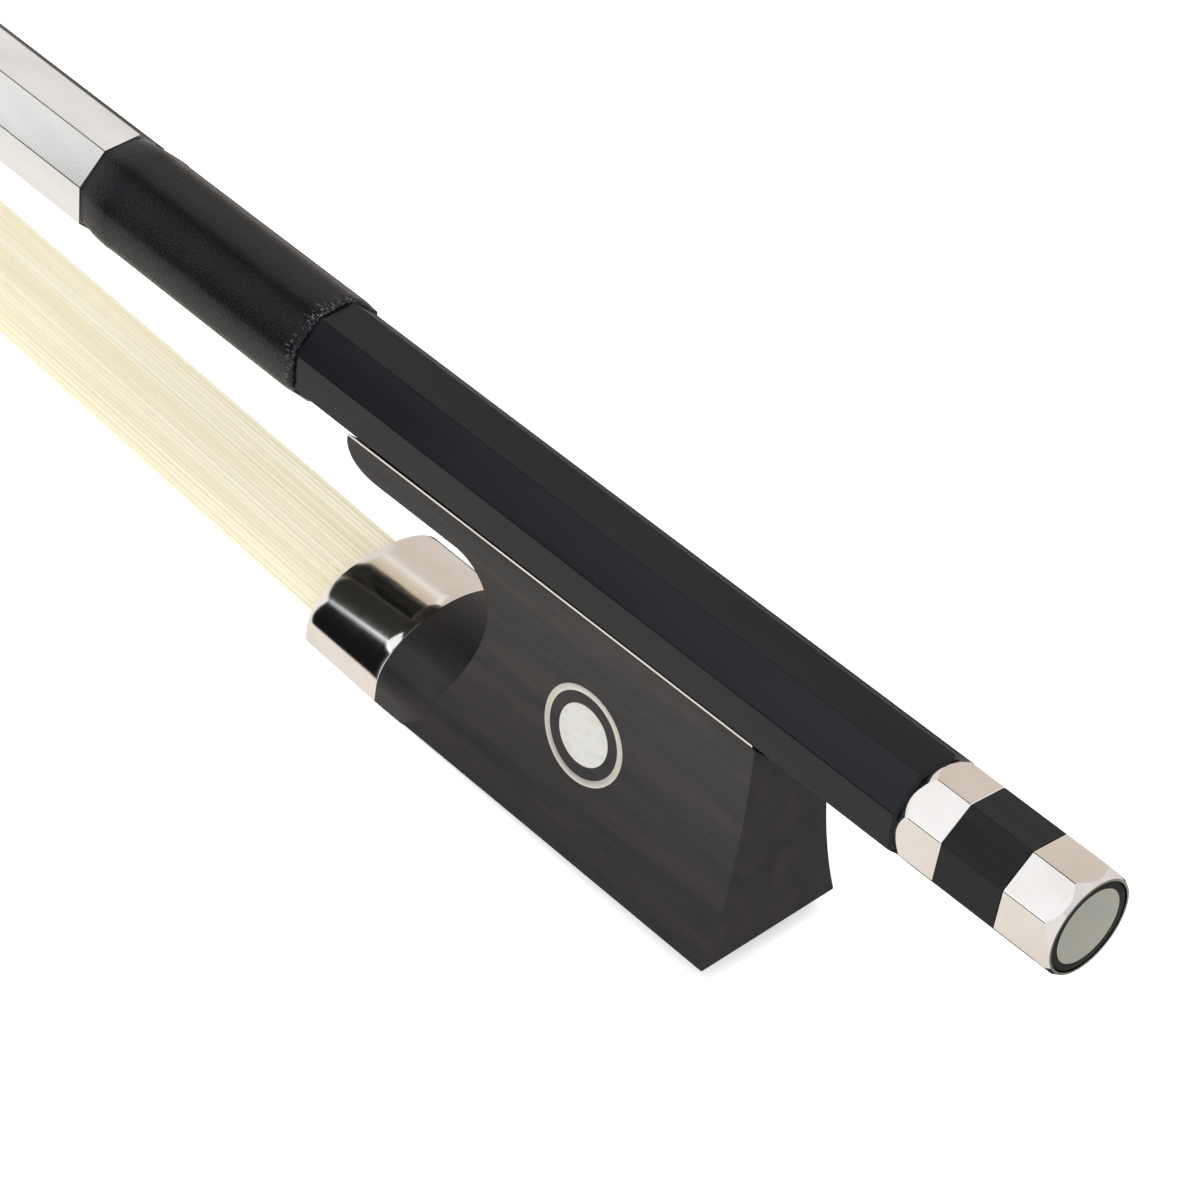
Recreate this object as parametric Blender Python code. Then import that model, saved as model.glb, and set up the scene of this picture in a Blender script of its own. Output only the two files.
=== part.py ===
"""A full-size violin bow: cambered stick with its head, frog, hair, screw and button.

Units are metres, +Z is up and +X points towards the button. The bow stands hair down
on its ferrule and its tip plate. The handle and the frog are drawn in the handle's
own frame: x along the screw's axis, 0 at the rear end of the stick, negative forwards.
The ferrule and the head are level with the hair.
"""
import math

import bmesh
import bpy
from mathutils import Vector

# Fits
GAP = 0.0003            # between neighbours that touch
FINE_GAP = 0.00012      # between an inlay or lining and its bed
RUNNING_GAP = 0.00015   # between the stick and what slides or turns on it
OVERCUT = 0.002         # how far a cutter runs past a face

# Stick
HANDLE_FLATS = 0.0085       # octagon across flats at the rear end
TIP_DIAMETER = 0.0054       # shaft where it meets the head
TAPER_POWER = 1.35          # how late the shaft thins
HANDLE_TILT = math.radians(4.0)   # handle against the line of the hair
CAMBER_START = 0.025        # from the rear end to where the bend begins
OCTAGON_LENGTH = 0.120      # the handle stays octagonal this far
ROUNDING_LENGTH = 0.025     # and turns round over this length
NIPPLE_RADIUS = 0.0026
NIPPLE_LENGTH = 0.0014

# Head
STICK_RUN = 0.7285          # rear end of the stick to the point of the beak
HEAD_LENGTH = 0.0255        # heel of the face to the point of the beak
HEAD_AXIS_HEIGHT = 0.0205   # shaft's axis above the floor at the heel
HEAD_THROAT_RADIUS = 0.011
HEAD_HEEL_WIDTH = 0.0104
HEAD_BEAK_WIDTH = 0.0042
FACE_HEIGHT = 0.0019        # underside of the tip plate at the heel
FACE_FLAT_LENGTH = 0.0105   # the face is level this far from the heel
BEAK_FLAT_START = 0.0185    # and level again, on the floor, from here
TIP_PLATE_THICKNESS = 0.0009
TIP_LINER_THICKNESS = 0.0006
HEAD_MORTISE_START = 0.0030     # from the heel
HEAD_MORTISE_LENGTH = 0.0060
HEAD_MORTISE_WIDTH = 0.0060
HEAD_MORTISE_TOP = 0.0076
HEAD_KNOT_HEIGHT = 0.0016
KNOT_ROUNDING = 0.3         # of a knot's height
SHAFT_FULL_REACH = 0.0006   # the shaft keeps its thickness this far past the heel
SHAFT_REACH = 0.0030        # and ends here, inside the head
SHAFT_END_SHARE = 0.8

# Shape of the head, in shares of its length, its height or the shaft
RIDGE_START = 0.0010        # heel to where the front ridge leaves the top of the shaft
RIDGE_CURVE = ((0.37, 1.0), (0.55, 0.34))
RIDGE_RUN_OUT = 0.0014      # it would meet the floor this far past the beak
RIDGE_LENGTH_SHARE = 0.04
RIDGE_SIDE_SHARE = 0.7
RIDGE_TOP_SHARE = 0.25
SIDE_POWER = 1.4            # how early the sides narrow towards the shaft
SIDE_TOP_SHARE = 0.97
REAR_TOP_SHARE = 0.45
REAR_SHAFT_SHARE = 0.9
THROAT_ARC_SHARE = 0.99
SHOULDER_LOW_SHARE = 0.61   # ridge to the widest place, at the face
SHOULDER_TOP_SHARE = 0.14   # and at the shaft
SHOULDER_LEAST_SHARE = 0.05
SHOULDER_POWER = 0.35
FACE_STRAIGHT_SHARE = 0.35  # the face keeps its full width over this share
BEAK_EDGE_SHARE = 0.955     # and its blunt end begins here

# Leather and winding, from the rear end of the stick
LEATHER_START = 0.0664
LEATHER_LENGTH = 0.0272
LEATHER_THICKNESS = 0.0004
LEATHER_NOSE = 0.0022       # length of its thinned front edge
LEATHER_EDGE = 0.0008       # length of its eased rear edge
LEATHER_EDGE_SHARE = 0.75   # of its thickness, at the cut rear edge
LEATHER_NOSE_SHARES = (0.8, 0.4)    # part of the way along the nose, and at its tip
LEATHER_NOSE_MIDDLE = 0.4   # tip of the nose to that first place, in nose lengths
LEATHER_ROUNDING = 0.5      # how far its wrap rounds off the octagon
WINDING_LENGTH = 0.072
WINDING_THICKNESS = 0.0003

# Frog, in the handle's frame
FROG_BACK = 0.0139          # rear end of the stick to the back face
FROG_LENGTH = 0.0461
FROG_TOP_WIDTH = 0.0086
FROG_BOTTOM_WIDTH = 0.0144
FROG_BACK_DEPTH = 0.0236    # axis to the bottom at the back face
FERRULE_DEPTH = 0.02305     # axis to the bottom at the ferrule's rear edge
CHEEK_POWER = 2.4           # how late the hollow cheeks flare out
PROJECTION_SIDE_DEPTH = 0.0047    # axis to the underside of the thumb projection
PROJECTION_MIDDLE_DEPTH = 0.0066
PROJECTION_FLAT_WIDTH = 0.0044
PROJECTION_STRAIGHT = 0.0130      # length of its underside before it curves down
PROJECTION_NOSE = 0.0025    # length of its rounded front
PROJECTION_NOSE_SHARE = 0.62      # depth at which the rounding begins
THROAT_LENGTH = 0.0174      # front of the frog to the deepest point of the throat
THROAT_DEPTH = 0.0092       # and that point's depth below the axis
THROAT_FOOT_LENGTH = 0.0110       # front of the frog to where the throat runs out below
THROAT_BEND_SHARE = 0.37    # how far down its rear stays steep

# Ferrule
FERRULE_LENGTH = 0.0086
FERRULE_OVERHANG = 0.0006   # it ends this far ahead of the frog's projection
FERRULE_REAR_HEIGHT = 0.0070
FERRULE_FRONT_HEIGHT = 0.0062
FERRULE_SIDE_HEIGHT = 0.0017
FERRULE_WALL = 0.00045
TONGUE_REACH = 0.0090       # how far the tongue runs back into the body
TONGUE_UNDERSIDE = 0.0034
TONGUE_END_LIFT = 0.0010    # its rear end lies inside the body
TONGUE_END_WIDTH_SHARE = 0.78
TONGUE_END_SIDE_SHARE = 1.3
TONGUE_END_HEIGHT_SHARE = 0.85
D_FOOT_SHARE = 0.9          # width of a D cut off above its straight sides
WEDGE_LENGTH = 0.0062

# Underslide and its pins
LINING_THICKNESS = 0.0002
PIN_RADIUS = 0.00055
LINING_PIN_LENGTH = 0.0011
LINING_PIN_INSET = 0.0045

# Slide and hair mortise in the underside of the frog
SLIDE_LENGTH = 0.0338
SLIDE_WIDTH = 0.0100
PEARL_THICKNESS = 0.0009
BACKING_THICKNESS = 0.0005
FROG_MORTISE_START = 0.0103     # behind the ferrule's rear edge
FROG_MORTISE_LENGTH = 0.0072
FROG_MORTISE_WIDTH = 0.0068
FROG_MORTISE_TOP = 0.0098
FROG_KNOT_HEIGHT = 0.0020

# Eye in each cheek
EYE_SHIFT = 0.0026          # ahead of the middle between throat and back
EYE_DEPTH = 0.0126
EYE_RING_RADIUS = 0.0043
EYE_RING_BORE = 0.0037
EYE_PEARL_RADIUS = 0.00267
EYE_BED = 0.0037            # middle of the frog to the bottom of the inlay

# Hair
HAIR_THICKNESS = 0.0008
HAIR_FERRULE_WIDTH = 0.0108
HAIR_HEEL_WIDTH = 0.0056
HAIR_KNOT_WIDTH = 0.0058
HAIR_TIP_WIDTH = 0.0052
HAIR_BEND_RADIUS = 0.0011
HAIR_LEVEL_SHARE = 0.75     # the hair is level from this share of the ferrule's length on
HAIR_LEAST_BEND = math.radians(20)    # smaller turns stay corners

# Screw and eyelet
SCREW_RADIUS = 0.00145
SCREW_PITCH = 0.0007
THREAD_DEPTH = 0.00030
THREAD_LENGTH = 0.0170
PILOT_RADIUS = 0.0011
PILOT_LENGTH = 0.0150
PILOT_POINT_SHARE = 0.6     # radius left at its tip
PILOT_POINT_LENGTH = 0.4    # length of that chamfer, in pilot radii
THREAD_CORE_SHARE = 0.97    # the core lies just under the thread's root
TANG_RADIUS = 0.0012
EYELET_FROM_FRONT = 0.0220  # front of the frog to the middle of the eyelet
EYELET_LENGTH = 0.0060
EYELET_WIDTH = 0.0044
EYELET_TOP = 0.0024
EYELET_BOTTOM = 0.0027
EYELET_SHANK_RADIUS = 0.0017
EYELET_SHANK_END = 0.0105
FROG_TRAVEL_FORWARD = 0.001
FROG_TRAVEL_BACK = 0.009

# Button
BUTTON_FLATS = 0.0085
COLLAR_LENGTH = 0.00425
CORE_LENGTH = 0.0061
CAP_LENGTH = 0.00506
BUTTON_RIM_RADIUS = 0.0041
RIM_SLOPE = 0.5             # the turned rims widen by this much per unit of length
COLLAR_RIM_RADIUS = 0.00395
END_RECESS = 0.0001         # the eye lies this far inside the rim
CORE_FRONT_RADIUS = 0.0034
CORE_END_RADIUS = 0.0039
BUTTON_PEARL_RADIUS = 0.0033
BUTTON_PEARL_DEPTH = 0.0010
BUTTON_PEARL_EDGE_SHARE = 0.96
RING_PIN_RADIUS = 0.00022
RING_PIN_LENGTH = 0.0008
RING_PIN_INSET = 0.0010     # from the front edge of its ring
RING_PIN_DROP = 0.0006      # below the middle of its flat
RING_PIN_OVERCUT = 8        # margins by which a pin's cutter clears the flat
BUTTON_TURN = math.radians(-6.5)   # how far round the button stands at rest

# Smoothness
ROUND_SIDES = 32
SMALL_SIDES = 20
THREAD_SIDES = 12
PIN_SIDES = 12
STICK_SIDES = 16
CHEEK_STEPS = 10
CURVE_STEPS = 8
NOSE_STEPS = 4
THROAT_FOOT_STEPS = 6
HAIR_BEND_STEPS = 5
HEAD_LOW_LEVELS = 3
HEAD_THROAT_ANGLES = range(0, 81, 10)
HEAD_SHAFT_ANGLES = range(-70, 81, 25)
SHAFT_STEP = 0.024          # between two rings of the shaft
WINDING_STEP = 0.009
FACE_FLAT_STEP = 0.006
FACE_CURVE_STEP = 0.001
SHARP_ANGLE = math.radians(35)

# Derived places
OCTAGON_RATIO = math.tan(math.radians(22.5))
HALF_FLATS = HANDLE_FLATS / 2
BUTTON_LENGTH = RUNNING_GAP + COLLAR_LENGTH + CORE_LENGTH + CAP_LENGTH
BUTTON_REACH = BUTTON_LENGTH * math.cos(HANDLE_TILT) + BUTTON_RIM_RADIUS * math.sin(HANDLE_TILT)
END_X = (STICK_RUN - BUTTON_REACH) / 2
BEAK_X = END_X - STICK_RUN
HEEL_X = BEAK_X + HEAD_LENGTH
FROG_FRONT = FROG_BACK + FROG_LENGTH
THROAT_REAR = FROG_FRONT - THROAT_LENGTH
THROAT_START = FROG_FRONT - PROJECTION_STRAIGHT
THROAT_FOOT = FROG_FRONT - THROAT_FOOT_LENGTH
EYE_FROM_END = (FROG_BACK + THROAT_REAR) / 2 + EYE_SHIFT
EYELET_FROM_END = FROG_FRONT - EYELET_FROM_FRONT
FERRULE_REAR = FROG_FRONT + FERRULE_OVERHANG - FERRULE_LENGTH
END_Z = FERRULE_REAR * math.sin(HANDLE_TILT) + FERRULE_DEPTH * math.cos(HANDLE_TILT)
MORTISE_FRONT = EYELET_FROM_END + EYELET_LENGTH / 2 + FROG_TRAVEL_FORWARD + 2 * RUNNING_GAP
MORTISE_REAR = EYELET_FROM_END - EYELET_LENGTH / 2 - FROG_TRAVEL_BACK - 2 * RUNNING_GAP
WINDING_START = LEATHER_START + LEATHER_LENGTH + GAP
HAIR_LEVEL_X = -FERRULE_LENGTH * HAIR_LEVEL_SHARE


def clear_scene():
    """Removes whatever the open file already holds."""
    for obj in list(bpy.data.objects):
        bpy.data.objects.remove(obj, do_unlink=True)


def finish(name, colour, roughness, metallic=0.0):
    """A Principled material with one colour, roughness and metallic value."""
    made = bpy.data.materials.new(name)
    made.use_nodes = True
    shader = made.node_tree.nodes["Principled BSDF"]
    shader.inputs["Base Color"].default_value = (*colour, 1.0)
    shader.inputs["Roughness"].default_value = roughness
    shader.inputs["Metallic"].default_value = metallic
    made.diffuse_color = (*colour, 1.0)
    return made


def seat(name, parent, place=(0, 0, 0), turn_y=0.0, turn_x=0.0):
    """An empty that carries the pieces of one sub-assembly."""
    made = bpy.data.objects.new(name, None)
    bpy.context.scene.collection.objects.link(made)
    made.parent = parent
    made.location = place
    made.rotation_euler = (turn_x, turn_y, 0.0)
    return made


def piece(name, bm, surface, parent, faceted=False):
    """Turns a bmesh into a named object on its seat, shaded smooth unless it is faceted."""
    mesh = bpy.data.meshes.new(name)
    bm.to_mesh(mesh)
    bm.free()
    if not faceted:
        mesh.shade_smooth()
        mesh.set_sharp_from_angle(angle=SHARP_ANGLE)
    if surface:
        mesh.materials.append(surface)
    made = bpy.data.objects.new(name, mesh)
    bpy.context.scene.collection.objects.link(made)
    made.parent = parent
    return made


def shaper(name, bm, parent):
    """A solid that only cuts, joins or trims others."""
    made = piece(name, bm, None, parent)
    made.hide_render = True
    made.display_type = "WIRE"
    return made


def combine(target, operation, *tools):
    """Adds one exact Boolean per tool to the target."""
    for tool in tools:
        modifier = target.modifiers.new(operation.lower() + "_" + tool.name, "BOOLEAN")
        modifier.operation = operation
        modifier.solver = "EXACT"
        modifier.object = tool


def skin(rings):
    """A closed solid through rings of points, capped at both ends."""
    bm = bmesh.new()
    loops = [[bm.verts.new(point) for point in ring] for ring in rings]
    count = len(loops[0])
    for near, far in zip(loops, loops[1:]):
        for i in range(count):
            j = (i + 1) % count
            bm.faces.new((near[i], near[j], far[j], far[i]))
    bm.faces.new(loops[0])
    bm.faces.new(loops[-1])
    bmesh.ops.recalc_face_normals(bm, faces=bm.faces)
    return bm


def sleeve(outer, inner):
    """A tube between two sets of rings, open at both ends."""
    bm = bmesh.new()
    outside = [[bm.verts.new(point) for point in ring] for ring in outer]
    inside = [[bm.verts.new(point) for point in ring] for ring in inner]
    around = outside + inside[::-1]
    around.append(outside[0])
    count = len(outside[0])
    for near, far in zip(around, around[1:]):
        for i in range(count):
            j = (i + 1) % count
            bm.faces.new((near[i], near[j], far[j], far[i]))
    bmesh.ops.recalc_face_normals(bm, faces=bm.faces)
    if bm.calc_volume(signed=True) < 0:
        bmesh.ops.reverse_faces(bm, faces=bm.faces)
    return bm


def box(x_range, y_range, z_range):
    """A plain block between the given limits."""
    corners = [(y_range[0], z_range[0]), (y_range[1], z_range[0]),
               (y_range[1], z_range[1]), (y_range[0], z_range[1])]
    return skin([[(x, y, z) for y, z in corners] for x in x_range])


def circle(x, radius, sides=ROUND_SIDES):
    """Points round the x axis."""
    turns = [2 * math.pi * (i + 0.5) / sides for i in range(sides)]
    return [(x, radius * math.cos(t), radius * math.sin(t)) for t in turns]


def turned(profile, sides=ROUND_SIDES):
    """A solid turned about x from (x, radius) pairs."""
    return skin([circle(x, radius, sides) for x, radius in profile])


def upright(radius, place, z_range, sides=SMALL_SIDES):
    """A round rod along z."""
    turns = [2 * math.pi * i / sides for i in range(sides)]
    return skin([[(place[0] + radius * math.cos(t), place[1] + radius * math.sin(t), z) for t in turns]
                 for z in z_range])


def crosswise(radius, place, y_range, sides=ROUND_SIDES):
    """A round rod along y, at (x, z)."""
    turns = [2 * math.pi * i / sides for i in range(sides)]
    return skin([[(place[0] + radius * math.cos(t), y, place[1] + radius * math.sin(t)) for t in turns]
                 for y in y_range])


def lerp(a, b, t):
    """The value a share t of the way from a to b."""
    return a + (b - a) * t


def bezier(points, t):
    """A point on a Bezier curve of any degree."""
    while len(points) > 1:
        points = [tuple(lerp(a, b, t) for a, b in zip(p, q)) for p, q in zip(points, points[1:])]
    return points[0]


def bezier_run(points, steps):
    """Evenly stepped points along a Bezier curve, both ends included."""
    return [bezier(points, i / steps) for i in range(steps + 1)]


# Stick

def shaft_height(distance):
    """Height of the stick's axis and its slope, at a level distance from the rear end."""
    slope = math.tan(HANDLE_TILT)
    heel = END_X - HEEL_X
    bend = 2 * (HEAD_AXIS_HEIGHT - END_Z + slope * heel) / (heel - CAMBER_START) ** 2
    past = max(0.0, distance - CAMBER_START)
    return END_Z - slope * distance + bend * past ** 2 / 2, slope - bend * past


def half_thickness(distance):
    """Half the stick's thickness at a distance from the rear end."""
    heel = END_X - HEEL_X
    share = min(1.0, distance / heel)
    return lerp(HALF_FLATS, TIP_DIAMETER / 2, share ** TAPER_POWER)


def to_handle(x, z):
    """World x and z in the handle's frame."""
    dx, dz = x - END_X, z - END_Z
    cos, sin = math.cos(HANDLE_TILT), math.sin(HANDLE_TILT)
    return dx * cos + dz * sin, dz * cos - dx * sin


def stick_ring(distance, extra=0.0, shrink=1.0, rounding=0.0):
    """The stick's outline at a level distance from its rear end, in the handle's frame."""
    height, slope = shaft_height(distance)
    x, z = to_handle(END_X - distance, height)
    lean = math.atan(slope) - HANDLE_TILT
    roundness = min(1.0, max(rounding, (distance - OCTAGON_LENGTH) / ROUNDING_LENGTH))
    half = half_thickness(distance) * shrink + extra
    ring = []
    for i in range(STICK_SIDES):
        corner = half * math.hypot(1, OCTAGON_RATIO) if i % 2 else half
        radius = lerp(corner, half, roundness)
        turn = 2 * math.pi * i / STICK_SIDES
        across = radius * math.cos(turn)
        up = radius * math.sin(turn)
        ring.append((x - up * math.sin(lean), across, z + up * math.cos(lean)))
    return ring


def stations(start, end, step):
    """Evenly spaced distances from start to end, no further apart than step."""
    count = max(1, math.ceil((end - start) / step))
    return [lerp(start, end, i / count) for i in range(count + 1)]


def ridge_front(height):
    """How far ahead of its heel the head's front ridge lies, at a height."""
    top = HEAD_AXIS_HEIGHT + TIP_DIAMETER / 2
    ridge = [(RIDGE_START, top)]
    ridge += [(HEAD_LENGTH * along, top * up) for along, up in RIDGE_CURVE]
    ridge.append((HEAD_LENGTH + RIDGE_RUN_OUT, 0.0))
    low, high = 0.0, 1.0
    while high - low > 1e-6:
        middle = (low + high) / 2
        if bezier(ridge, middle)[1] > height:
            low = middle
        else:
            high = middle
    return bezier(ridge, low)[0]


def head_slice(height):
    """One level outline of the head."""
    shaft = TIP_DIAMETER / 2
    front = ridge_front(height)
    rise = min(1.0, height / HEAD_AXIS_HEIGHT)
    side = lerp(HEAD_HEEL_WIDTH / 2, shaft * SIDE_TOP_SHARE, 1 - (1 - rise) ** SIDE_POWER)
    round_half = math.sqrt(max(0.0, shaft ** 2 - (height - HEAD_AXIS_HEIGHT) ** 2))
    under = HEAD_AXIS_HEIGHT - shaft
    reach = min(max(height - under + HEAD_THROAT_RADIUS, 0.0), HEAD_THROAT_RADIUS)
    drawn = reach * THROAT_ARC_SHARE
    rear = math.sqrt(max(0.0, HEAD_THROAT_RADIUS ** 2 - drawn ** 2)) - HEAD_THROAT_RADIUS
    if height > under:
        rear = lerp(rear, RIDGE_START / 2, (height - under) / (2 * shaft))
        rear_side = REAR_SHAFT_SHARE * round_half
    else:
        rear_side = lerp(side, REAR_TOP_SHARE * shaft, (reach / HEAD_THROAT_RADIUS) ** 3)
    if height > HEAD_AXIS_HEIGHT:
        side = SIDE_TOP_SHARE * round_half
    behind_ridge = HEAD_LENGTH * lerp(SHOULDER_LOW_SHARE, SHOULDER_TOP_SHARE, rise ** SHOULDER_POWER)
    shoulder = max(rear + HEAD_LENGTH * SHOULDER_LEAST_SHARE, front - behind_ridge)
    ridge_half = lerp(HEAD_BEAK_WIDTH / 2, RIDGE_TOP_SHARE * shaft, math.sqrt(rise))
    ridge_half = min(side * RIDGE_SIDE_SHARE, ridge_half)
    half = [(rear, rear_side), (lerp(rear, shoulder, 0.5), side), (shoulder, side),
            (front - HEAD_LENGTH * RIDGE_LENGTH_SHARE, ridge_half)]
    outline = half + [(front, 0.0)] + [(h, -w) for h, w in reversed(half)]
    return [(-h, w, height) for h, w in outline]


def head_levels():
    """Heights of the head's slices: even below, by angle up the throat and over the shaft."""
    shaft = TIP_DIAMETER / 2
    centre = HEAD_AXIS_HEIGHT - shaft - HEAD_THROAT_RADIUS
    levels = [centre * i / HEAD_LOW_LEVELS for i in range(HEAD_LOW_LEVELS)]
    levels += [centre + HEAD_THROAT_RADIUS * math.sin(math.radians(angle)) for angle in HEAD_THROAT_ANGLES]
    levels += [HEAD_AXIS_HEIGHT + shaft * math.sin(math.radians(angle)) for angle in HEAD_SHAFT_ANGLES]
    return levels


def face_height(distance):
    """Underside of the tip plate at a distance from the heel."""
    run = (distance - FACE_FLAT_LENGTH) / (BEAK_FLAT_START - FACE_FLAT_LENGTH)
    run = min(1.0, max(0.0, run))
    return FACE_HEIGHT * (1 - run * run * (3 - 2 * run))


def face_half_width(distance):
    """Half the width of the head's face at a distance from the heel."""
    straight = HEAD_LENGTH * FACE_STRAIGHT_SHARE
    edge = HEAD_LENGTH * BEAK_EDGE_SHARE
    half = lerp(HEAD_HEEL_WIDTH, HEAD_BEAK_WIDTH, (distance - straight) / (edge - straight)) / 2
    if distance <= straight:
        half = HEAD_HEEL_WIDTH / 2
    if distance > edge:
        half = lerp(HEAD_BEAK_WIDTH / 2, HEAD_BEAK_WIDTH / 4, (distance - edge) / (HEAD_LENGTH - edge))
    return half


def face_sheet(lift, thickness):
    """A sheet that follows the head's face, a lift above the tip plate's underside."""
    places = stations(0, FACE_FLAT_LENGTH, FACE_FLAT_STEP)
    places += stations(FACE_FLAT_LENGTH, BEAK_FLAT_START, FACE_CURVE_STEP)[1:]
    places += [HEAD_LENGTH * BEAK_EDGE_SHARE, HEAD_LENGTH]
    rings = []
    for distance in places:
        low = face_height(distance) + lift
        half = face_half_width(distance)
        rings.append([(-distance, -half, low), (-distance, half, low),
                      (-distance, half, low + thickness), (-distance, -half, low + thickness)])
    return skin(rings)


def head_mortise_cutter(name, head_seat):
    """The block that opens the head's mortise."""
    half = HEAD_MORTISE_WIDTH / 2
    reach = (-HEAD_MORTISE_START - HEAD_MORTISE_LENGTH, -HEAD_MORTISE_START)
    return shaper(name, box(reach, (-half, half), (-OVERCUT, HEAD_MORTISE_TOP)), head_seat)


def build_stick(handle_axis, head_seat, black):
    """The stick in one piece, from its nipple to the beak of its head."""
    heel = END_X - HEEL_X
    round_start = OCTAGON_LENGTH + ROUNDING_LENGTH
    places = [0.0] + stations(CAMBER_START, OCTAGON_LENGTH, SHAFT_STEP)
    places += stations(OCTAGON_LENGTH, round_start, SHAFT_STEP / 2)[1:]
    places += stations(round_start, heel, SHAFT_STEP)[1:]
    places.append(heel + SHAFT_FULL_REACH)
    rings = [circle_ring(NIPPLE_LENGTH), circle_ring(0.0)]
    rings += [stick_ring(place) for place in places]
    rings.append(stick_ring(heel + SHAFT_REACH, shrink=SHAFT_END_SHARE))
    stick = piece("stick", skin(rings), black, handle_axis)

    head = shaper("head_blank", skin([head_slice(height) for height in head_levels()]), head_seat)
    lift = TIP_PLATE_THICKNESS + TIP_LINER_THICKNESS + 2 * FINE_GAP
    below = shaper("face_cutter", wide_face_block(lift), head_seat)
    mortise = head_mortise_cutter("head_mortise_cutter", head_seat)
    screw_hole = turned([(-MORTISE_REAR - OVERCUT, SCREW_RADIUS + GAP),
                         (NIPPLE_LENGTH + OVERCUT, SCREW_RADIUS + GAP)])
    rear_bore = shaper("rear_bore_cutter", screw_hole, handle_axis)
    pilot_hole = turned([(-MORTISE_FRONT - PILOT_LENGTH - GAP, PILOT_RADIUS + GAP),
                         (-MORTISE_FRONT + OVERCUT, PILOT_RADIUS + GAP)])
    front_bore = shaper("front_bore_cutter", pilot_hole, handle_axis)
    slot_half = EYELET_WIDTH / 2 + GAP
    slot_reach = (-MORTISE_FRONT, -MORTISE_REAR)
    slot_block = box(slot_reach, (-slot_half, slot_half), (-HANDLE_FLATS, EYELET_TOP + GAP))
    slot = shaper("eyelet_slot_cutter", slot_block, handle_axis)
    combine(stick, "UNION", head)
    combine(stick, "DIFFERENCE", below, mortise, rear_bore, front_bore, slot)
    return stick


def circle_ring(x):
    """The nipple's outline, with as many points as the stick's own rings."""
    turns = [2 * math.pi * i / STICK_SIDES for i in range(STICK_SIDES)]
    return [(x, NIPPLE_RADIUS * math.cos(t), NIPPLE_RADIUS * math.sin(t)) for t in turns]


def wide_face_block(lift):
    """Everything below the wooden face of the head."""
    far = HEAD_LENGTH + OVERCUT
    behind = HEAD_LENGTH
    below = -HEAD_THROAT_RADIUS
    places = [-behind, 0.0] + stations(FACE_FLAT_LENGTH, BEAK_FLAT_START, FACE_CURVE_STEP) + [far]
    outline = [(-place, face_height(place) + lift) for place in places] + [(-far, below), (behind, below)]
    half = HEAD_HEEL_WIDTH
    return skin([[(x, y, z) for x, z in outline] for y in (-half, half)])


def build_head_fittings(head_seat, bone, ebony, wood, thread):
    """The tip plate on its liner, and the knot and plug in the mortise."""
    plate = piece("tip_plate", face_sheet(0.0, TIP_PLATE_THICKNESS), bone, head_seat)
    lining = face_sheet(TIP_PLATE_THICKNESS + FINE_GAP, TIP_LINER_THICKNESS)
    liner = piece("tip_liner", lining, ebony, head_seat)
    opening = head_mortise_cutter("plate_mortise_cutter", head_seat)
    combine(plate, "DIFFERENCE", opening)
    combine(liner, "DIFFERENCE", opening)

    top = HEAD_MORTISE_TOP - GAP
    half = HEAD_MORTISE_WIDTH / 2 - GAP
    front = -HEAD_MORTISE_START - HEAD_MORTISE_LENGTH + GAP
    hair_front = -HEAD_MORTISE_START - 2 * GAP - HAIR_THICKNESS
    knot = box((front + 3 * GAP, -HEAD_MORTISE_START - GAP), (-half, half), (top - HEAD_KNOT_HEIGHT, top))
    piece("head_knot", rounded(knot, HEAD_KNOT_HEIGHT * KNOT_ROUNDING), thread, head_seat)
    plug_top = top - HEAD_KNOT_HEIGHT - GAP
    plug = box((front, hair_front), (-half, half), (FACE_HEIGHT + GAP, plug_top))
    piece("head_plug", rounded(plug, GAP), wood, head_seat)


def rounded(bm, width):
    """Bevels every edge of a solid."""
    bmesh.ops.bevel(bm, geom=bm.edges, offset=width, segments=2, profile=0.5, affect="EDGES")
    return bm


def build_grip(handle_axis, leather, silver):
    """The leather thumb grip and the winding ahead of it."""
    end = LEATHER_START + LEATHER_LENGTH
    nose_middle, nose_tip = LEATHER_NOSE_SHARES
    bulge = [(LEATHER_START, LEATHER_EDGE_SHARE), (LEATHER_START + LEATHER_EDGE, 1.0)]
    bulge += [(end - LEATHER_NOSE, 1.0), (end - LEATHER_NOSE_MIDDLE * LEATHER_NOSE, nose_middle), (end, nose_tip)]
    outer = []
    inner = []
    for place, share in bulge:
        outer.append(stick_ring(place, FINE_GAP + LEATHER_THICKNESS * share, rounding=LEATHER_ROUNDING))
        inner.append(stick_ring(place, FINE_GAP))
    piece("leather_grip", sleeve(outer, inner), leather, handle_axis)

    places = stations(WINDING_START, WINDING_START + WINDING_LENGTH, WINDING_STEP)
    outer = [stick_ring(place, FINE_GAP + WINDING_THICKNESS) for place in places]
    inner = [stick_ring(place, FINE_GAP) for place in places]
    piece("wire_winding", sleeve(outer, inner), silver, handle_axis)


# Frog

def bed_line(offset):
    """Depth of the frog's flat bed and the sum |y| + |z| on its slanted sides, at an offset."""
    return HALF_FLATS + offset, HALF_FLATS * (1 + OCTAGON_RATIO) + math.sqrt(2) * offset


def bed_points(offset, half_width):
    """The frog's three-sided bed for the stick, as (y, z) from left to right."""
    depth, slant = bed_line(offset)
    corner = slant - depth
    rim = half_width - slant
    return [(-half_width, rim), (-corner, -depth), (corner, -depth), (half_width, rim)]


def frog_bottom(distance):
    """Depth of the frog's bottom below the axis, by distance from the stick's rear end."""
    share = (distance - FROG_BACK) / (FERRULE_REAR - FROG_BACK)
    return lerp(FROG_BACK_DEPTH, FERRULE_DEPTH, share)


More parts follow.
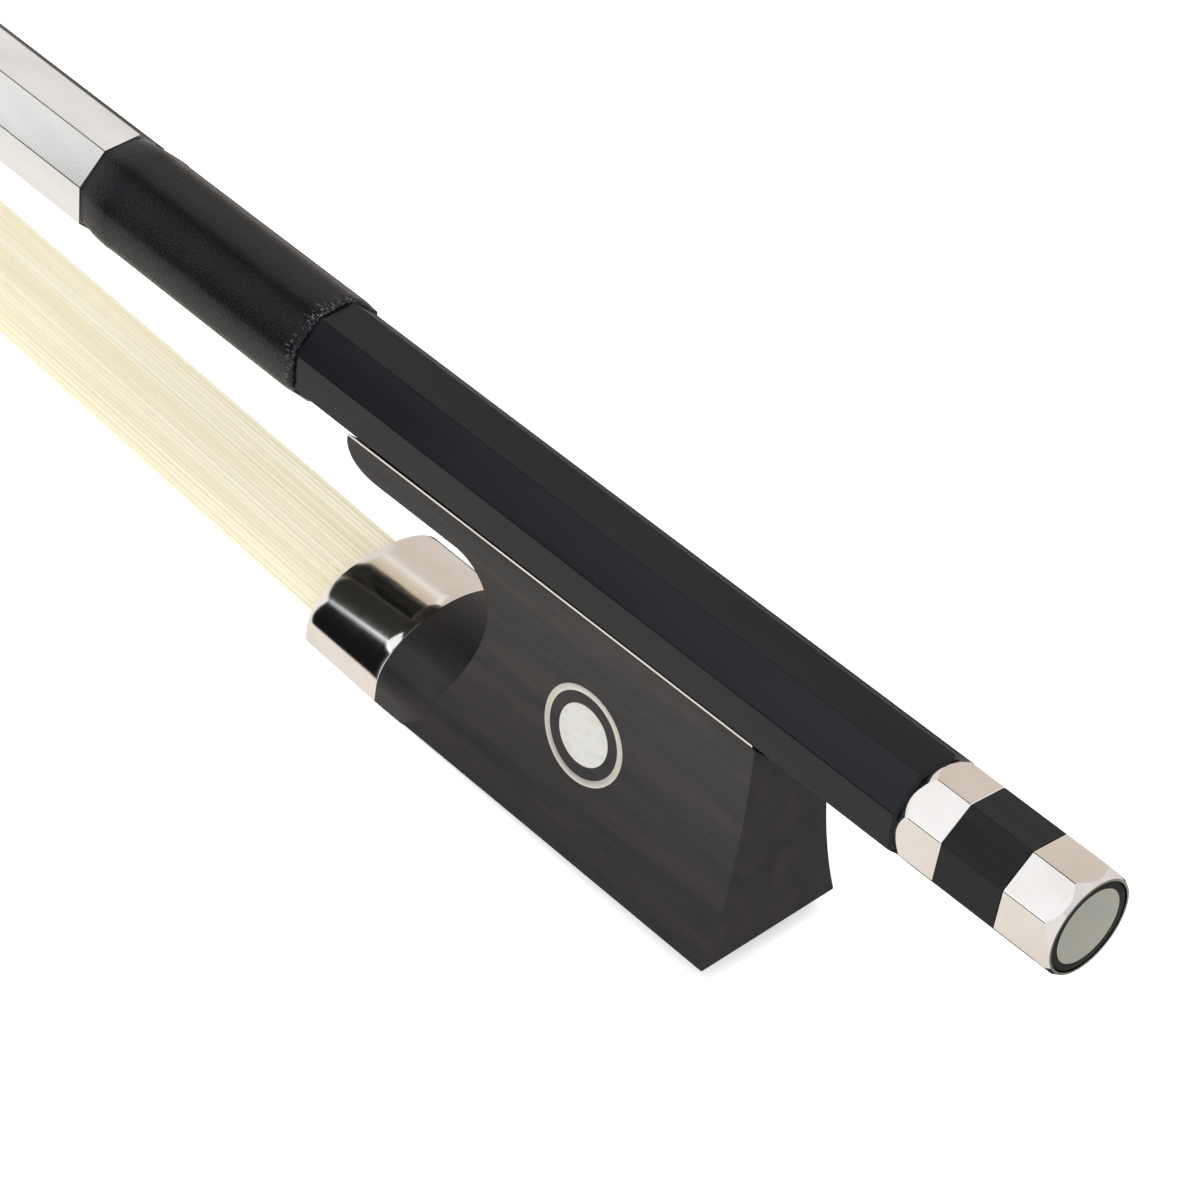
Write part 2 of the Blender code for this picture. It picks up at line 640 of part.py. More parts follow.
def cheek_half_width(depth, top_depth, bottom_depth):
    """Half the frog's width at a depth below the axis: hollow cheeks that flare out late."""
    share = min(1.0, max(0.0, (depth - top_depth) / (bottom_depth - top_depth)))
    return lerp(FROG_TOP_WIDTH / 2, FROG_BOTTOM_WIDTH / 2, share ** CHEEK_POWER)


def frog_section(distance):
    """The frog's full outline across the bow."""
    offset = RUNNING_GAP + LINING_THICKNESS + FINE_GAP
    bed = bed_points(offset, FROG_TOP_WIDTH / 2)
    bottom = frog_bottom(distance)
    top = -bed[0][1]
    right = []
    for i in range(1, CHEEK_STEPS + 1):
        depth = lerp(top, bottom, i / CHEEK_STEPS)
        right.append((cheek_half_width(depth, top, bottom), -depth))
    left = [(-y, z) for y, z in reversed(right)]
    return [(-distance, y, z) for y, z in bed + right + left]


def throat_profile(underside):
    """The finger cut-out seen from the side, for one depth of the projection's underside."""
    nose_depth = underside * PROJECTION_NOSE_SHARE
    past = -FROG_FRONT - OVERCUT
    nose = [(-FROG_FRONT, -nose_depth), (-FROG_FRONT, -underside), (-FROG_FRONT + PROJECTION_NOSE, -underside)]
    points = [(past, -nose_depth)] + bezier_run(nose, NOSE_STEPS)
    half_height = THROAT_DEPTH - underside
    half_length = THROAT_START - THROAT_REAR
    for i in range(CURVE_STEPS + 1):
        turn = math.pi / 2 * i / CURVE_STEPS
        x = -THROAT_START + half_length * math.sin(turn)
        points.append((x, -THROAT_DEPTH + half_height * math.cos(turn)))
    bend_depth = lerp(THROAT_DEPTH, FROG_BACK_DEPTH, THROAT_BEND_SHARE)
    rear = [(-THROAT_REAR, -THROAT_DEPTH), (-THROAT_REAR, -bend_depth), (-THROAT_FOOT, -FROG_BACK_DEPTH)]
    points += bezier_run(rear, THROAT_FOOT_STEPS)[1:]
    below = -FROG_BACK_DEPTH - OVERCUT
    points += [(-THROAT_FOOT, below), (past, below)]
    return points


def throat_cutter(frog_axis):
    """The cut-out between the thumb projection and the tongue, its upper edges chamfered."""
    outside = FROG_BOTTOM_WIDTH
    side = FROG_TOP_WIDTH / 2
    flat = PROJECTION_FLAT_WIDTH / 2
    high, low = PROJECTION_SIDE_DEPTH, PROJECTION_MIDDLE_DEPTH
    layers = [(-outside, high), (-side, high), (-flat, low), (flat, low), (side, high), (outside, high)]
    rings = [[(x, y, z) for x, z in throat_profile(depth)] for y, depth in layers]
    return shaper("throat_cutter", skin(rings), frog_axis)


def d_section(x, half_width, bottom, side_top, height):
    """A D lying on its flat: straight sides, then half an ellipse, cut off level at the bottom."""
    rise = height - side_top
    start = math.asin(max(0.0, (bottom - side_top) / rise))
    foot = half_width if bottom < side_top else half_width * math.cos(start) * D_FOOT_SHARE
    points = [(foot, bottom)]
    for i in range(ROUND_SIDES // 2 + 1):
        turn = lerp(start, math.pi - start, 2 * i / ROUND_SIDES)
        points.append((half_width * math.cos(turn), side_top + rise * math.sin(turn)))
    points.append((-foot, bottom))
    return [(x, y, z) for y, z in points]


def ferrule_height(x):
    """Outer height of the ferrule, by distance ahead (negative) or behind its rear edge."""
    return FERRULE_REAR_HEIGHT + (FERRULE_REAR_HEIGHT - FERRULE_FRONT_HEIGHT) * x / FERRULE_LENGTH


def tongue(ferrule_seat):
    """The frog's tongue: thin inside the ferrule, flush with it behind."""
    half = FROG_BOTTOM_WIDTH / 2
    inset = FERRULE_WALL + FINE_GAP
    front = -FERRULE_LENGTH + GAP
    rings = []
    for x in (front, GAP):
        height = ferrule_height(x) - inset
        rings.append(d_section(x, half - inset, TONGUE_UNDERSIDE, FERRULE_SIDE_HEIGHT, height))
    rings.append(d_section(GAP, half, 0.0, FERRULE_SIDE_HEIGHT, ferrule_height(GAP)))
    foot = FERRULE_REAR - THROAT_FOOT + GAP
    lift = foot * math.tan(slide_tilt())
    rings.append(d_section(foot, half, lift, FERRULE_SIDE_HEIGHT + lift, FERRULE_REAR_HEIGHT + lift))
    rings.append(d_section(TONGUE_REACH, half * TONGUE_END_WIDTH_SHARE, TONGUE_END_LIFT,
                           FERRULE_SIDE_HEIGHT * TONGUE_END_SIDE_SHARE,
                           FERRULE_REAR_HEIGHT * TONGUE_END_HEIGHT_SHARE))
    return shaper("tongue_blank", skin(rings), ferrule_seat)


def eye_disc(name, radius, side, depth, frog_axis):
    """A rod through one cheek at the eye, down to a depth from the middle of the frog."""
    reach = (side * depth, side * FROG_BOTTOM_WIDTH)
    return shaper(name, crosswise(radius, (-EYE_FROM_END, -EYE_DEPTH), reach), frog_axis)


def build_frog_body(frog_axis, ferrule_seat, slide_seat, ebony):
    """The ebony body with its bed, throat, tongue, mortise and inlay beds."""
    body = piece("frog_body", skin([frog_section(FROG_FRONT), frog_section(FROG_BACK)]), ebony, frog_axis)
    combine(body, "DIFFERENCE", throat_cutter(frog_axis))
    combine(body, "UNION", tongue(ferrule_seat))

    slide_half = SLIDE_WIDTH / 2 + FINE_GAP
    slide_depth = PEARL_THICKNESS + BACKING_THICKNESS + 2 * FINE_GAP
    groove = box((-OVERCUT, SLIDE_LENGTH + GAP), (-slide_half, slide_half), (-OVERCUT, slide_depth))
    channel = box((-OVERCUT, FROG_MORTISE_START + OVERCUT), (-slide_half, slide_half),
                  (0, slide_depth + HAIR_THICKNESS + 3 * GAP))
    mortise_half = FROG_MORTISE_WIDTH / 2
    mortise_end = FROG_MORTISE_START + FROG_MORTISE_LENGTH
    mortise = box((FROG_MORTISE_START, mortise_end), (-mortise_half, mortise_half), (0, FROG_MORTISE_TOP))
    shank = upright(EYELET_SHANK_RADIUS + FINE_GAP, (-EYELET_FROM_END, 0), (-EYELET_SHANK_END - GAP, 0))
    cutters = [shaper("slide_groove_cutter", groove, slide_seat),
               shaper("hair_channel_cutter", channel, slide_seat),
               shaper("frog_mortise_cutter", mortise, slide_seat),
               shaper("shank_hole_cutter", shank, frog_axis)]
    pin_end = -HALF_FLATS - RUNNING_GAP - LINING_PIN_LENGTH
    for place in lining_pin_places():
        hole = upright(PIN_RADIUS + FINE_GAP, (-place, 0), (pin_end - FINE_GAP, 0))
        cutters.append(shaper("lining_pin_hole_cutter", hole, frog_axis))
    combine(body, "DIFFERENCE", *cutters)
    for side in (-1, 1):
        ring = shaper("eye_ring_bed_cutter", eye_ring_mesh(side, FINE_GAP), frog_axis)
        combine(body, "DIFFERENCE", ring, eye_disc("eye_pearl_bed_cutter", EYE_PEARL_RADIUS + FINE_GAP, side,
                                                   EYE_BED - FINE_GAP, frog_axis))
    return body


def lining_pin_places():
    """Distances of the underslide's pins from the stick's rear end."""
    return (FROG_FRONT - LINING_PIN_INSET, FROG_BACK + LINING_PIN_INSET)


def eye_ring_mesh(side, margin):
    """The eye's ring as a short tube across the cheek, grown by a margin."""
    outer, inner = EYE_RING_RADIUS + margin, EYE_RING_BORE - margin
    reach = (side * (EYE_BED - margin), side * FROG_BOTTOM_WIDTH)
    turns = [2 * math.pi * i / ROUND_SIDES for i in range(ROUND_SIDES)]

    def rim(radius, y):
        """One edge of the tube."""
        return [(-EYE_FROM_END + radius * math.cos(t), y, -EYE_DEPTH + radius * math.sin(t)) for t in turns]

    return sleeve([rim(outer, y) for y in reach], [rim(inner, y) for y in reach])


def build_eyes(frog_axis, silver, pearl):
    """A pearl disc and a metal ring in each cheek, filed flush with it."""
    blank = shaper("cheek_blank", skin([frog_section(FROG_FRONT), frog_section(FROG_BACK)]), frog_axis)
    for side, word in ((-1, "near"), (1, "far")):
        ring = piece("eye_ring_" + word, eye_ring_mesh(side, 0.0), silver, frog_axis)
        reach = (side * EYE_BED, side * FROG_BOTTOM_WIDTH)
        disc_mesh = crosswise(EYE_PEARL_RADIUS, (-EYE_FROM_END, -EYE_DEPTH), reach)
        disc = piece("eye_pearl_" + word, disc_mesh, pearl, frog_axis)
        combine(ring, "INTERSECT", blank)
        combine(disc, "INTERSECT", blank)


def build_underslide(frog_axis, silver, brass):
    """The bent metal lining of the frog's bed, and its two pins."""
    half = FROG_TOP_WIDTH / 2
    inner = bed_points(RUNNING_GAP, half)
    outer = bed_points(RUNNING_GAP + LINING_THICKNESS, half)
    outline = inner + outer[::-1]
    ends = (-FROG_FRONT, -FROG_BACK)
    lining = piece("underslide", skin([[(x, y, z) for y, z in outline] for x in ends]), silver, frog_axis)
    hole = upright(EYELET_SHANK_RADIUS + FINE_GAP, (-EYELET_FROM_END, 0), (-2 * HALF_FLATS, 0))
    combine(lining, "DIFFERENCE", shaper("lining_hole_cutter", hole, frog_axis))
    pin_top = -HALF_FLATS - RUNNING_GAP - FINE_GAP
    pin_end = pin_top - LINING_PIN_LENGTH + FINE_GAP
    for number, place in enumerate(lining_pin_places(), start=1):
        hole = upright(PIN_RADIUS + FINE_GAP, (-place, 0), (-2 * HALF_FLATS, 0))
        combine(lining, "DIFFERENCE", shaper("lining_pin_cutter", hole, frog_axis))
        pin = upright(PIN_RADIUS, (-place, 0), (pin_end, pin_top))
        piece("underslide_pin_" + str(number), pin, brass, frog_axis)


def build_ferrule(ferrule_seat, silver, wood):
    """The D-shaped ferrule and the spread wedge inside it."""
    half = FROG_BOTTOM_WIDTH / 2
    wall = FERRULE_WALL
    outer = []
    inner = []
    for x in (-FERRULE_LENGTH, 0.0):
        height = ferrule_height(x)
        outer.append(d_section(x, half, 0.0, FERRULE_SIDE_HEIGHT, height))
        inner.append(d_section(x, half - wall, wall, FERRULE_SIDE_HEIGHT, height - wall))
    piece("ferrule", sleeve(outer, inner), silver, ferrule_seat)

    front = -FERRULE_LENGTH + 2 * GAP
    wedge_half = half - wall - 3 * GAP
    top = TONGUE_UNDERSIDE - FINE_GAP
    rings = []
    for x in (front, front + WEDGE_LENGTH):
        low = hair_centre_height(x) + HAIR_THICKNESS / 2 + 2 * FINE_GAP
        rings.append([(x, -wedge_half, low), (x, wedge_half, low), (x, wedge_half, top), (x, -wedge_half, top)])
    piece("ferrule_wedge", skin(rings), wood, ferrule_seat)


def build_slide(slide_seat, pearl, silver, wood, thread):
    """The pearl slide on its backing, and the knot and plug that it covers."""
    half = SLIDE_WIDTH / 2
    start = GAP
    low = PEARL_THICKNESS + FINE_GAP
    facing = box((start, SLIDE_LENGTH), (-half, half), (0.0, PEARL_THICKNESS))
    piece("pearl_slide", facing, pearl, slide_seat)
    backing = box((start, SLIDE_LENGTH), (-half, half), (low, low + BACKING_THICKNESS))
    piece("slide_backing", backing, silver, slide_seat)

    top = FROG_MORTISE_TOP - GAP
    half = FROG_MORTISE_WIDTH / 2 - GAP
    front = FROG_MORTISE_START + GAP
    rear = FROG_MORTISE_START + FROG_MORTISE_LENGTH - GAP
    knot = box((front, rear - 3 * GAP), (-half, half), (top - FROG_KNOT_HEIGHT, top))
    piece("frog_knot", rounded(knot, FROG_KNOT_HEIGHT * KNOT_ROUNDING), thread, slide_seat)
    plug_range = (low + BACKING_THICKNESS + GAP, top - FROG_KNOT_HEIGHT - GAP)
    plug = box((front + HAIR_THICKNESS + 2 * GAP, rear), (-half, half), plug_range)
    piece("frog_plug", rounded(plug, GAP), wood, slide_seat)


# Hair

def hair_corners():
    """The hair's middle line in the ferrule's frame, as corners with x and z."""
    tilt = slide_tilt()
    lift = PEARL_THICKNESS + BACKING_THICKNESS + 2 * FINE_GAP + GAP + HAIR_THICKNESS / 2
    bend_x = FROG_MORTISE_START + GAP + HAIR_THICKNESS / 2
    knot_z = FROG_MORTISE_TOP - GAP - FROG_KNOT_HEIGHT - GAP
    run = FERRULE_WALL + GAP + HAIR_THICKNESS / 2

    def on_slide(x, z):
        """A point of the slide's frame in the ferrule's."""
        return x * math.cos(tilt) - z * math.sin(tilt), x * math.sin(tilt) + z * math.cos(tilt)

    head_bend = head_in_ferrule() - HEAD_MORTISE_START - GAP - HAIR_THICKNESS / 2
    knot_low = HEAD_MORTISE_TOP - GAP - HEAD_KNOT_HEIGHT - GAP
    return [on_slide(bend_x, knot_z), on_slide(bend_x, lift), on_slide(2 * GAP, lift),
            (HAIR_LEVEL_X, run), (head_bend, run), (head_bend, knot_low)]


def slide_tilt():
    """Rise of the frog's bottom towards its back, against the hair."""
    fall = math.atan((FROG_BACK_DEPTH - FERRULE_DEPTH) / (FERRULE_REAR - FROG_BACK))
    return HANDLE_TILT - fall


def ferrule_world_x():
    """World x of the ferrule's rear edge at the floor."""
    return END_X - FERRULE_REAR * math.cos(HANDLE_TILT) + FERRULE_DEPTH * math.sin(HANDLE_TILT)


def head_in_ferrule():
    """The head's heel in the ferrule's frame."""
    return HEEL_X - ferrule_world_x()


def hair_centre_height(x):
    """Height of the hair's middle inside the ferrule."""
    corners = hair_corners()
    behind, ahead = corners[2], corners[3]
    share = min(1.0, max(0.0, (behind[0] - x) / (behind[0] - ahead[0])))
    return lerp(behind[1], ahead[1], share)


def rounded_path(corners, radius):
    """A polyline whose sharp corners are turned into arcs."""
    path = [Vector(corners[0])]
    for before, here, after in zip(corners, corners[1:], corners[2:]):
        back = (Vector(before) - Vector(here)).normalized()
        ahead = (Vector(after) - Vector(here)).normalized()
        turn = math.pi - back.angle(ahead)
        if turn < HAIR_LEAST_BEND:
            path.append(Vector(here))
            continue
        cut = radius * math.tan(turn / 2)
        arc = [Vector(here) + back * cut, Vector(here), Vector(here) + ahead * cut]
        path += [Vector(point) for point in bezier_run(arc, HAIR_BEND_STEPS)]
    path.append(Vector(corners[-1]))
    return path


def build_hair(ferrule_seat, horsehair):
    """The ribbon of hair, from the knot in the frog to the knot in the head."""
    path = rounded_path(hair_corners(), HAIR_BEND_RADIUS)
    heel = head_in_ferrule()
    rings = []
    for i, point in enumerate(path):
        before = path[max(i - 1, 0)]
        after = path[min(i + 1, len(path) - 1)]
        along = (after - before).normalized()
        across = Vector((-along.y, along.x)) * HAIR_THICKNESS / 2
        half = hair_width(point, heel) / 2
        low, high = point - across, point + across
        rings.append([(low.x, -half, low.y), (low.x, half, low.y),
                      (high.x, half, high.y), (high.x, -half, high.y)])
    piece("hair", skin(rings), horsehair, ferrule_seat)


def hair_width(point, heel):
    """Width of the ribbon at a point of its path."""
    if point.x > HAIR_LEVEL_X:
        share = (point.x - HAIR_LEVEL_X) / (FROG_MORTISE_START - HAIR_LEVEL_X)
        return lerp(HAIR_FERRULE_WIDTH, HAIR_KNOT_WIDTH, min(1.0, share))
    if point.x > heel:
        share = (HAIR_LEVEL_X - point.x) / (HAIR_LEVEL_X - heel)
        return lerp(HAIR_FERRULE_WIDTH, HAIR_HEEL_WIDTH, share)
    share = min(1.0, (heel - point.x) / HEAD_MORTISE_START)
    return lerp(HAIR_HEEL_WIDTH, HAIR_TIP_WIDTH, share)


# Screw, eyelet and button

def thread_mesh(start, length, radius, depth, pitch):
    """A right-hand V thread about x, closed at both ends, running forwards from start."""
    bm = bmesh.new()
    turns = round(length / pitch)
    total = turns * THREAD_SIDES
    root, crest = [], []
    for k in range(total + THREAD_SIDES + 1):
        angle = 2 * math.pi * k / THREAD_SIDES
        x = start - pitch * k / THREAD_SIDES
        y, z = math.cos(angle), -math.sin(angle)
        root.append(bm.verts.new((x, (radius - depth) * y, (radius - depth) * z)))
        if k <= total:
            crest.append(bm.verts.new((x - pitch / 2, radius * y, radius * z)))
    for k in range(total):
        bm.faces.new((root[k], root[k + 1], crest[k + 1], crest[k]))
        bm.faces.new((crest[k], crest[k + 1], root[k + THREAD_SIDES + 1], root[k + THREAD_SIDES]))
    cap(bm, root[:THREAD_SIDES + 1] + [crest[0]], start)
    cap(bm, root[total:] + [crest[total]], start - pitch * (turns + 1))
    bmesh.ops.recalc_face_normals(bm, faces=bm.faces)
    return bm


def cap(bm, rim, x):
    """Closes one end of the thread with a fan to a point on the axis."""
    middle = bm.verts.new((x, 0, 0))
    for here, there in zip(rim, rim[1:] + rim[:1]):
        bm.faces.new((here, there, middle))


def build_screw(screw_axis, steel):
    """The screw: pilot, thread, plain shank and the tang that the button grips."""
    thread_end = -MORTISE_FRONT + GAP
    thread_start = thread_end + THREAD_LENGTH + SCREW_PITCH
    root = SCREW_RADIUS - THREAD_DEPTH
    pilot_end = thread_end - PILOT_LENGTH + GAP
    tang_start = NIPPLE_LENGTH
    core = root * THREAD_CORE_SHARE
    profile = [(pilot_end, PILOT_RADIUS * PILOT_POINT_SHARE),
               (pilot_end + PILOT_RADIUS * PILOT_POINT_LENGTH, PILOT_RADIUS),
               (thread_end, PILOT_RADIUS), (thread_end + SCREW_PITCH, core),
               (thread_start - SCREW_PITCH, core), (thread_start - SCREW_PITCH, SCREW_RADIUS),
               (tang_start, SCREW_RADIUS), (tang_start, TANG_RADIUS), (tang_length(), TANG_RADIUS)]
    shaft = piece("screw", turned(profile, SMALL_SIDES), steel, screw_axis)
    ridge = thread_mesh(thread_start - SCREW_PITCH / 2, THREAD_LENGTH - SCREW_PITCH, SCREW_RADIUS,
                        THREAD_DEPTH, SCREW_PITCH)
    combine(shaft, "UNION", shaper("thread_blank", ridge, screw_axis))


def tang_length():
    """How far the screw's tang reaches into the button, from the stick's rear end."""
    return RUNNING_GAP + COLLAR_LENGTH + CORE_LENGTH


def build_eyelet(frog_axis, brass):
    """The brass eyelet: a flat-sided eye on the screw and a shank down into the frog."""
    start = -EYELET_FROM_END - EYELET_LENGTH / 2
    half = EYELET_WIDTH / 2
    block = box((start, start + EYELET_LENGTH), (-half, half), (-EYELET_BOTTOM, EYELET_TOP))
    eye = piece("eyelet", rounded(block, GAP), brass, frog_axis)
    shank = upright(EYELET_SHANK_RADIUS, (-EYELET_FROM_END, 0), (-EYELET_SHANK_END, 0))
    bore = turned([(start - OVERCUT, SCREW_RADIUS + RUNNING_GAP),
                   (start + EYELET_LENGTH + OVERCUT, SCREW_RADIUS + RUNNING_GAP)], SMALL_SIDES)
    combine(eye, "UNION", shaper("eyelet_shank_blank", shank, frog_axis))
    combine(eye, "DIFFERENCE", shaper("eyelet_bore_cutter", bore, frog_axis))


def octagon(x, half):
    """An upright octagon across x, half its width over flats."""
    corner = half * math.hypot(1, OCTAGON_RATIO)
    turns = [(i + 0.5) * math.pi / 4 for i in range(8)]
    return [(x, corner * math.cos(t), corner * math.sin(t)) for t in turns]


def octagon_bar(x_range):
    """The button's octagon as a solid bar."""
    return skin([octagon(x, BUTTON_FLATS / 2) for x in x_range])


def build_button(screw_axis, silver, ebony, pearl):
    """The button: core, front collar, end cap, the eye in its end and the ring pins."""
    collar = (RUNNING_GAP, RUNNING_GAP + COLLAR_LENGTH)
    core = (collar[1] + FINE_GAP, collar[1] + CORE_LENGTH - FINE_GAP)
    cap_range = (collar[1] + CORE_LENGTH, collar[1] + CORE_LENGTH + CAP_LENGTH)
    end = cap_range[1]
    past = (-OVERCUT, end + OVERCUT)

    middle = piece("button_core", octagon_bar(core), ebony, screw_axis, faceted=True)
    spigots = turned([(collar[0], CORE_FRONT_RADIUS), (core[0] + GAP, CORE_FRONT_RADIUS),
                      (core[0] + GAP, CORE_END_RADIUS), (end - END_RECESS, CORE_END_RADIUS)])
    recess = turned([(past[0], NIPPLE_RADIUS + GAP), (NIPPLE_LENGTH + GAP, NIPPLE_RADIUS + GAP)])
    tang_hole = TANG_RADIUS + FINE_GAP
    tang = turned([(past[0], tang_hole), (tang_length() + GAP, tang_hole)], SMALL_SIDES)
    eye_bed = turned([(end - END_RECESS - BUTTON_PEARL_DEPTH - FINE_GAP, BUTTON_PEARL_RADIUS + FINE_GAP),
                      (past[1], BUTTON_PEARL_RADIUS + FINE_GAP)])
    combine(middle, "UNION", shaper("core_spigots_blank", spigots, screw_axis))
    combine(middle, "DIFFERENCE",
            shaper("nipple_recess_cutter", recess, screw_axis),
            shaper("tang_hole_cutter", tang, screw_axis),
            shaper("button_eye_bed_cutter", eye_bed, screw_axis))

    corner = BUTTON_FLATS / 2 * math.hypot(1, OCTAGON_RATIO) + FINE_GAP
    envelope = turned([(collar[0], COLLAR_RIM_RADIUS),
                       (collar[0] + (corner - COLLAR_RIM_RADIUS) / RIM_SLOPE, corner),
                       (end - (corner - BUTTON_RIM_RADIUS) / RIM_SLOPE, corner), (end, BUTTON_RIM_RADIUS)])
    chamfer = shaper("button_chamfer_blank", envelope, screw_axis)
    parts = (("button_collar", collar, CORE_FRONT_RADIUS, 1), ("button_cap", cap_range, CORE_END_RADIUS, -1))
    for name, span, bore_radius, side in parts:
        ring = piece(name, octagon_bar(span), silver, screw_axis, faceted=True)
        bore = turned([(past[0], bore_radius + FINE_GAP), (past[1], bore_radius + FINE_GAP)])
        combine(ring, "INTERSECT", chamfer)
        combine(ring, "DIFFERENCE", shaper(name + "_bore_cutter", bore, screw_axis))
        hole = ring_pin_mesh(span, side, RING_PIN_RADIUS + FINE_GAP, FINE_GAP)
        drill = shaper(name + "_pin_cutter", hole, screw_axis)
        combine(ring, "DIFFERENCE", drill)
        combine(middle, "DIFFERENCE", drill)
        piece(name + "_pin", ring_pin_mesh(span, side, RING_PIN_RADIUS, 0.0), silver, screw_axis)

    face = end - END_RECESS
    lens = turned([(face - BUTTON_PEARL_DEPTH, BUTTON_PEARL_RADIUS), (face - FINE_GAP, BUTTON_PEARL_RADIUS),
                   (face, BUTTON_PEARL_RADIUS * BUTTON_PEARL_EDGE_SHARE)])
    piece("button_pearl", lens, pearl, screw_axis)


def ring_pin_mesh(span, side, radius, margin):
    """A pin through one of the button's rings, on its near (-1) or far (1) flat."""
    outside = side * (BUTTON_FLATS / 2 + margin * RING_PIN_OVERCUT)
    inside = side * (BUTTON_FLATS / 2 - RING_PIN_LENGTH - margin)
    return crosswise(radius, (span[0] + RING_PIN_INSET, -RING_PIN_DROP), (outside, inside), PIN_SIDES)


def main():
    """Builds every piece of the bow."""
    clear_scene()
    black = finish("black_lacquered_stick", (0.015, 0.015, 0.017), 0.45)
    ebony = finish("ebony", (0.03, 0.028, 0.027), 0.5)
    leather = finish("black_leather", (0.012, 0.012, 0.014), 0.7)
    silver = finish("nickel_silver", (0.72, 0.69, 0.66), 0.2, 1.0)
    winding = finish("silver_winding", (0.86, 0.86, 0.85), 0.25, 1.0)
    brass = finish("brass", (0.6, 0.45, 0.2), 0.35, 1.0)
    steel = finish("steel", (0.5, 0.5, 0.52), 0.3, 1.0)
    pearl = finish("mother_of_pearl", (0.72, 0.7, 0.66), 0.25)
    bone = finish("bone", (0.8, 0.76, 0.66), 0.4)
    wood = finish("plug_wood", (0.5, 0.33, 0.18), 0.7)
    thread = finish("bound_hair", (0.6, 0.5, 0.35), 0.8)
    horsehair = finish("horsehair", (0.85, 0.79, 0.6), 0.5)

    handle_axis = seat("handle_axis", None, (END_X, 0, END_Z), turn_y=-HANDLE_TILT)
    head_seat = seat("head_seat", None, (HEEL_X, 0, 0))
    frog_axis = seat("frog_axis", handle_axis)
    ferrule_place = (-FERRULE_REAR, 0, -FERRULE_DEPTH)
    ferrule_seat = seat("ferrule_seat", frog_axis, ferrule_place, turn_y=HANDLE_TILT)
    slide_seat = seat("slide_seat", ferrule_seat, turn_y=-slide_tilt())
    screw_axis = seat("screw_axis", handle_axis, turn_x=BUTTON_TURN)

    build_stick(handle_axis, head_seat, black)
    build_head_fittings(head_seat, bone, ebony, wood, thread)
    build_grip(handle_axis, leather, winding)
    build_frog_body(frog_axis, ferrule_seat, slide_seat, ebony)
    build_eyes(frog_axis, silver, pearl)
    build_underslide(frog_axis, silver, brass)
    build_ferrule(ferrule_seat, silver, wood)
    build_slide(slide_seat, pearl, silver, wood, thread)
    build_hair(ferrule_seat, horsehair)
    build_screw(screw_axis, steel)
    build_eyelet(frog_axis, brass)
    build_button(screw_axis, silver, ebony, pearl)


main()
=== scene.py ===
"""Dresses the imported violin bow: finer pieces and real finishes on the CAD frame.

The handle, the frog and the button are drawn in the handle's own frame, where x runs
along the screw, 0 at the rear end of the stick and negative forwards. The ferrule and
the head are level with the hair. Sizes are in metres, and colours are sRGB hex values.
"""
import logging
import math
from dataclasses import dataclass, field
from enum import Enum
from typing import Any, Optional, Sequence, Union

import bmesh
import bpy
from mathutils import Matrix, Vector


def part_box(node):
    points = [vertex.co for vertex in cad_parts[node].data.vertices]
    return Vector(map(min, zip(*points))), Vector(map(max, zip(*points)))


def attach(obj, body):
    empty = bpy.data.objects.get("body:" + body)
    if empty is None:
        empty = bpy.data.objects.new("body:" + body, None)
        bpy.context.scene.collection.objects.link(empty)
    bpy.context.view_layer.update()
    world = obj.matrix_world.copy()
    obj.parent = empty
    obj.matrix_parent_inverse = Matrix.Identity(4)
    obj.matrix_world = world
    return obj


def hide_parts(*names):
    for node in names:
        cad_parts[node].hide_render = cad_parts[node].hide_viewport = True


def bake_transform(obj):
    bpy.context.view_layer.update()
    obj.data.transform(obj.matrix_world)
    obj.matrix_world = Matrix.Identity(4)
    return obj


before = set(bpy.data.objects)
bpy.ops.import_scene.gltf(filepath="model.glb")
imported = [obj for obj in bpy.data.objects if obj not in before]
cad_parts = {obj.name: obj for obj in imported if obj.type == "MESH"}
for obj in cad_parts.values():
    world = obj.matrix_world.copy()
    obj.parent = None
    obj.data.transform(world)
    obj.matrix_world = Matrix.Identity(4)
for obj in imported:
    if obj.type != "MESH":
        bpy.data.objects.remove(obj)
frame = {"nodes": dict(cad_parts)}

LOG = logging.getLogger("violin_bow")
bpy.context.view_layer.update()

MM = 0.001
EIGHTH = math.radians(45.0)
FACET_ANGLE = 14.0
EASED_EDGE = 0.10 * MM
FLAT_RATIO = math.tan(EIGHTH / 2)
WHITE = (1.0, 1.0, 1.0, 1.0)

# The handle's frame: the rear end of the stick, and the handle's tilt against the hair
STICK_END = Vector((0.356346, 0.0, 0.026621))
TILT = math.radians(4.0)
HANDLE = Matrix.Translation(STICK_END) @ Matrix.Rotation(-TILT, 4, "Y")
HEEL_X = -0.346654
# The face of the head steps down between two distances from the heel
FACE_STEP = (10.5 * MM, 18.5 * MM)
FACE_RISE = 1.9 * MM

Outline = list[Vector]
Piece = bpy.types.Object
Tree = bpy.types.NodeTree
Node = bpy.types.Node
Socket = bpy.types.NodeSocket
Feed = Union[Node, Socket]
Span = tuple[float, float]
Triple = tuple[float, float, float]
Stops = Sequence[tuple[float, str]]


class Body(Enum):
    """The bodies that pieces ride on."""

    STICK = "stick"
    FROG = "frog"
    SCREW = "screw"


class Slot(Enum):
    """The record's material slots."""

    STICK = "black_lacquered_stick"
    EBONY = "ebony"
    LEATHER = "black_leather"
    NICKEL = "nickel_silver"
    WINDING = "silver_winding"
    BRASS = "brass"
    STEEL = "steel"
    PEARL = "mother_of_pearl"
    BONE = "bone"
    PLUG = "plug_wood"
    BINDING = "bound_hair"
    HAIR = "horsehair"


# Colours and shader nodes

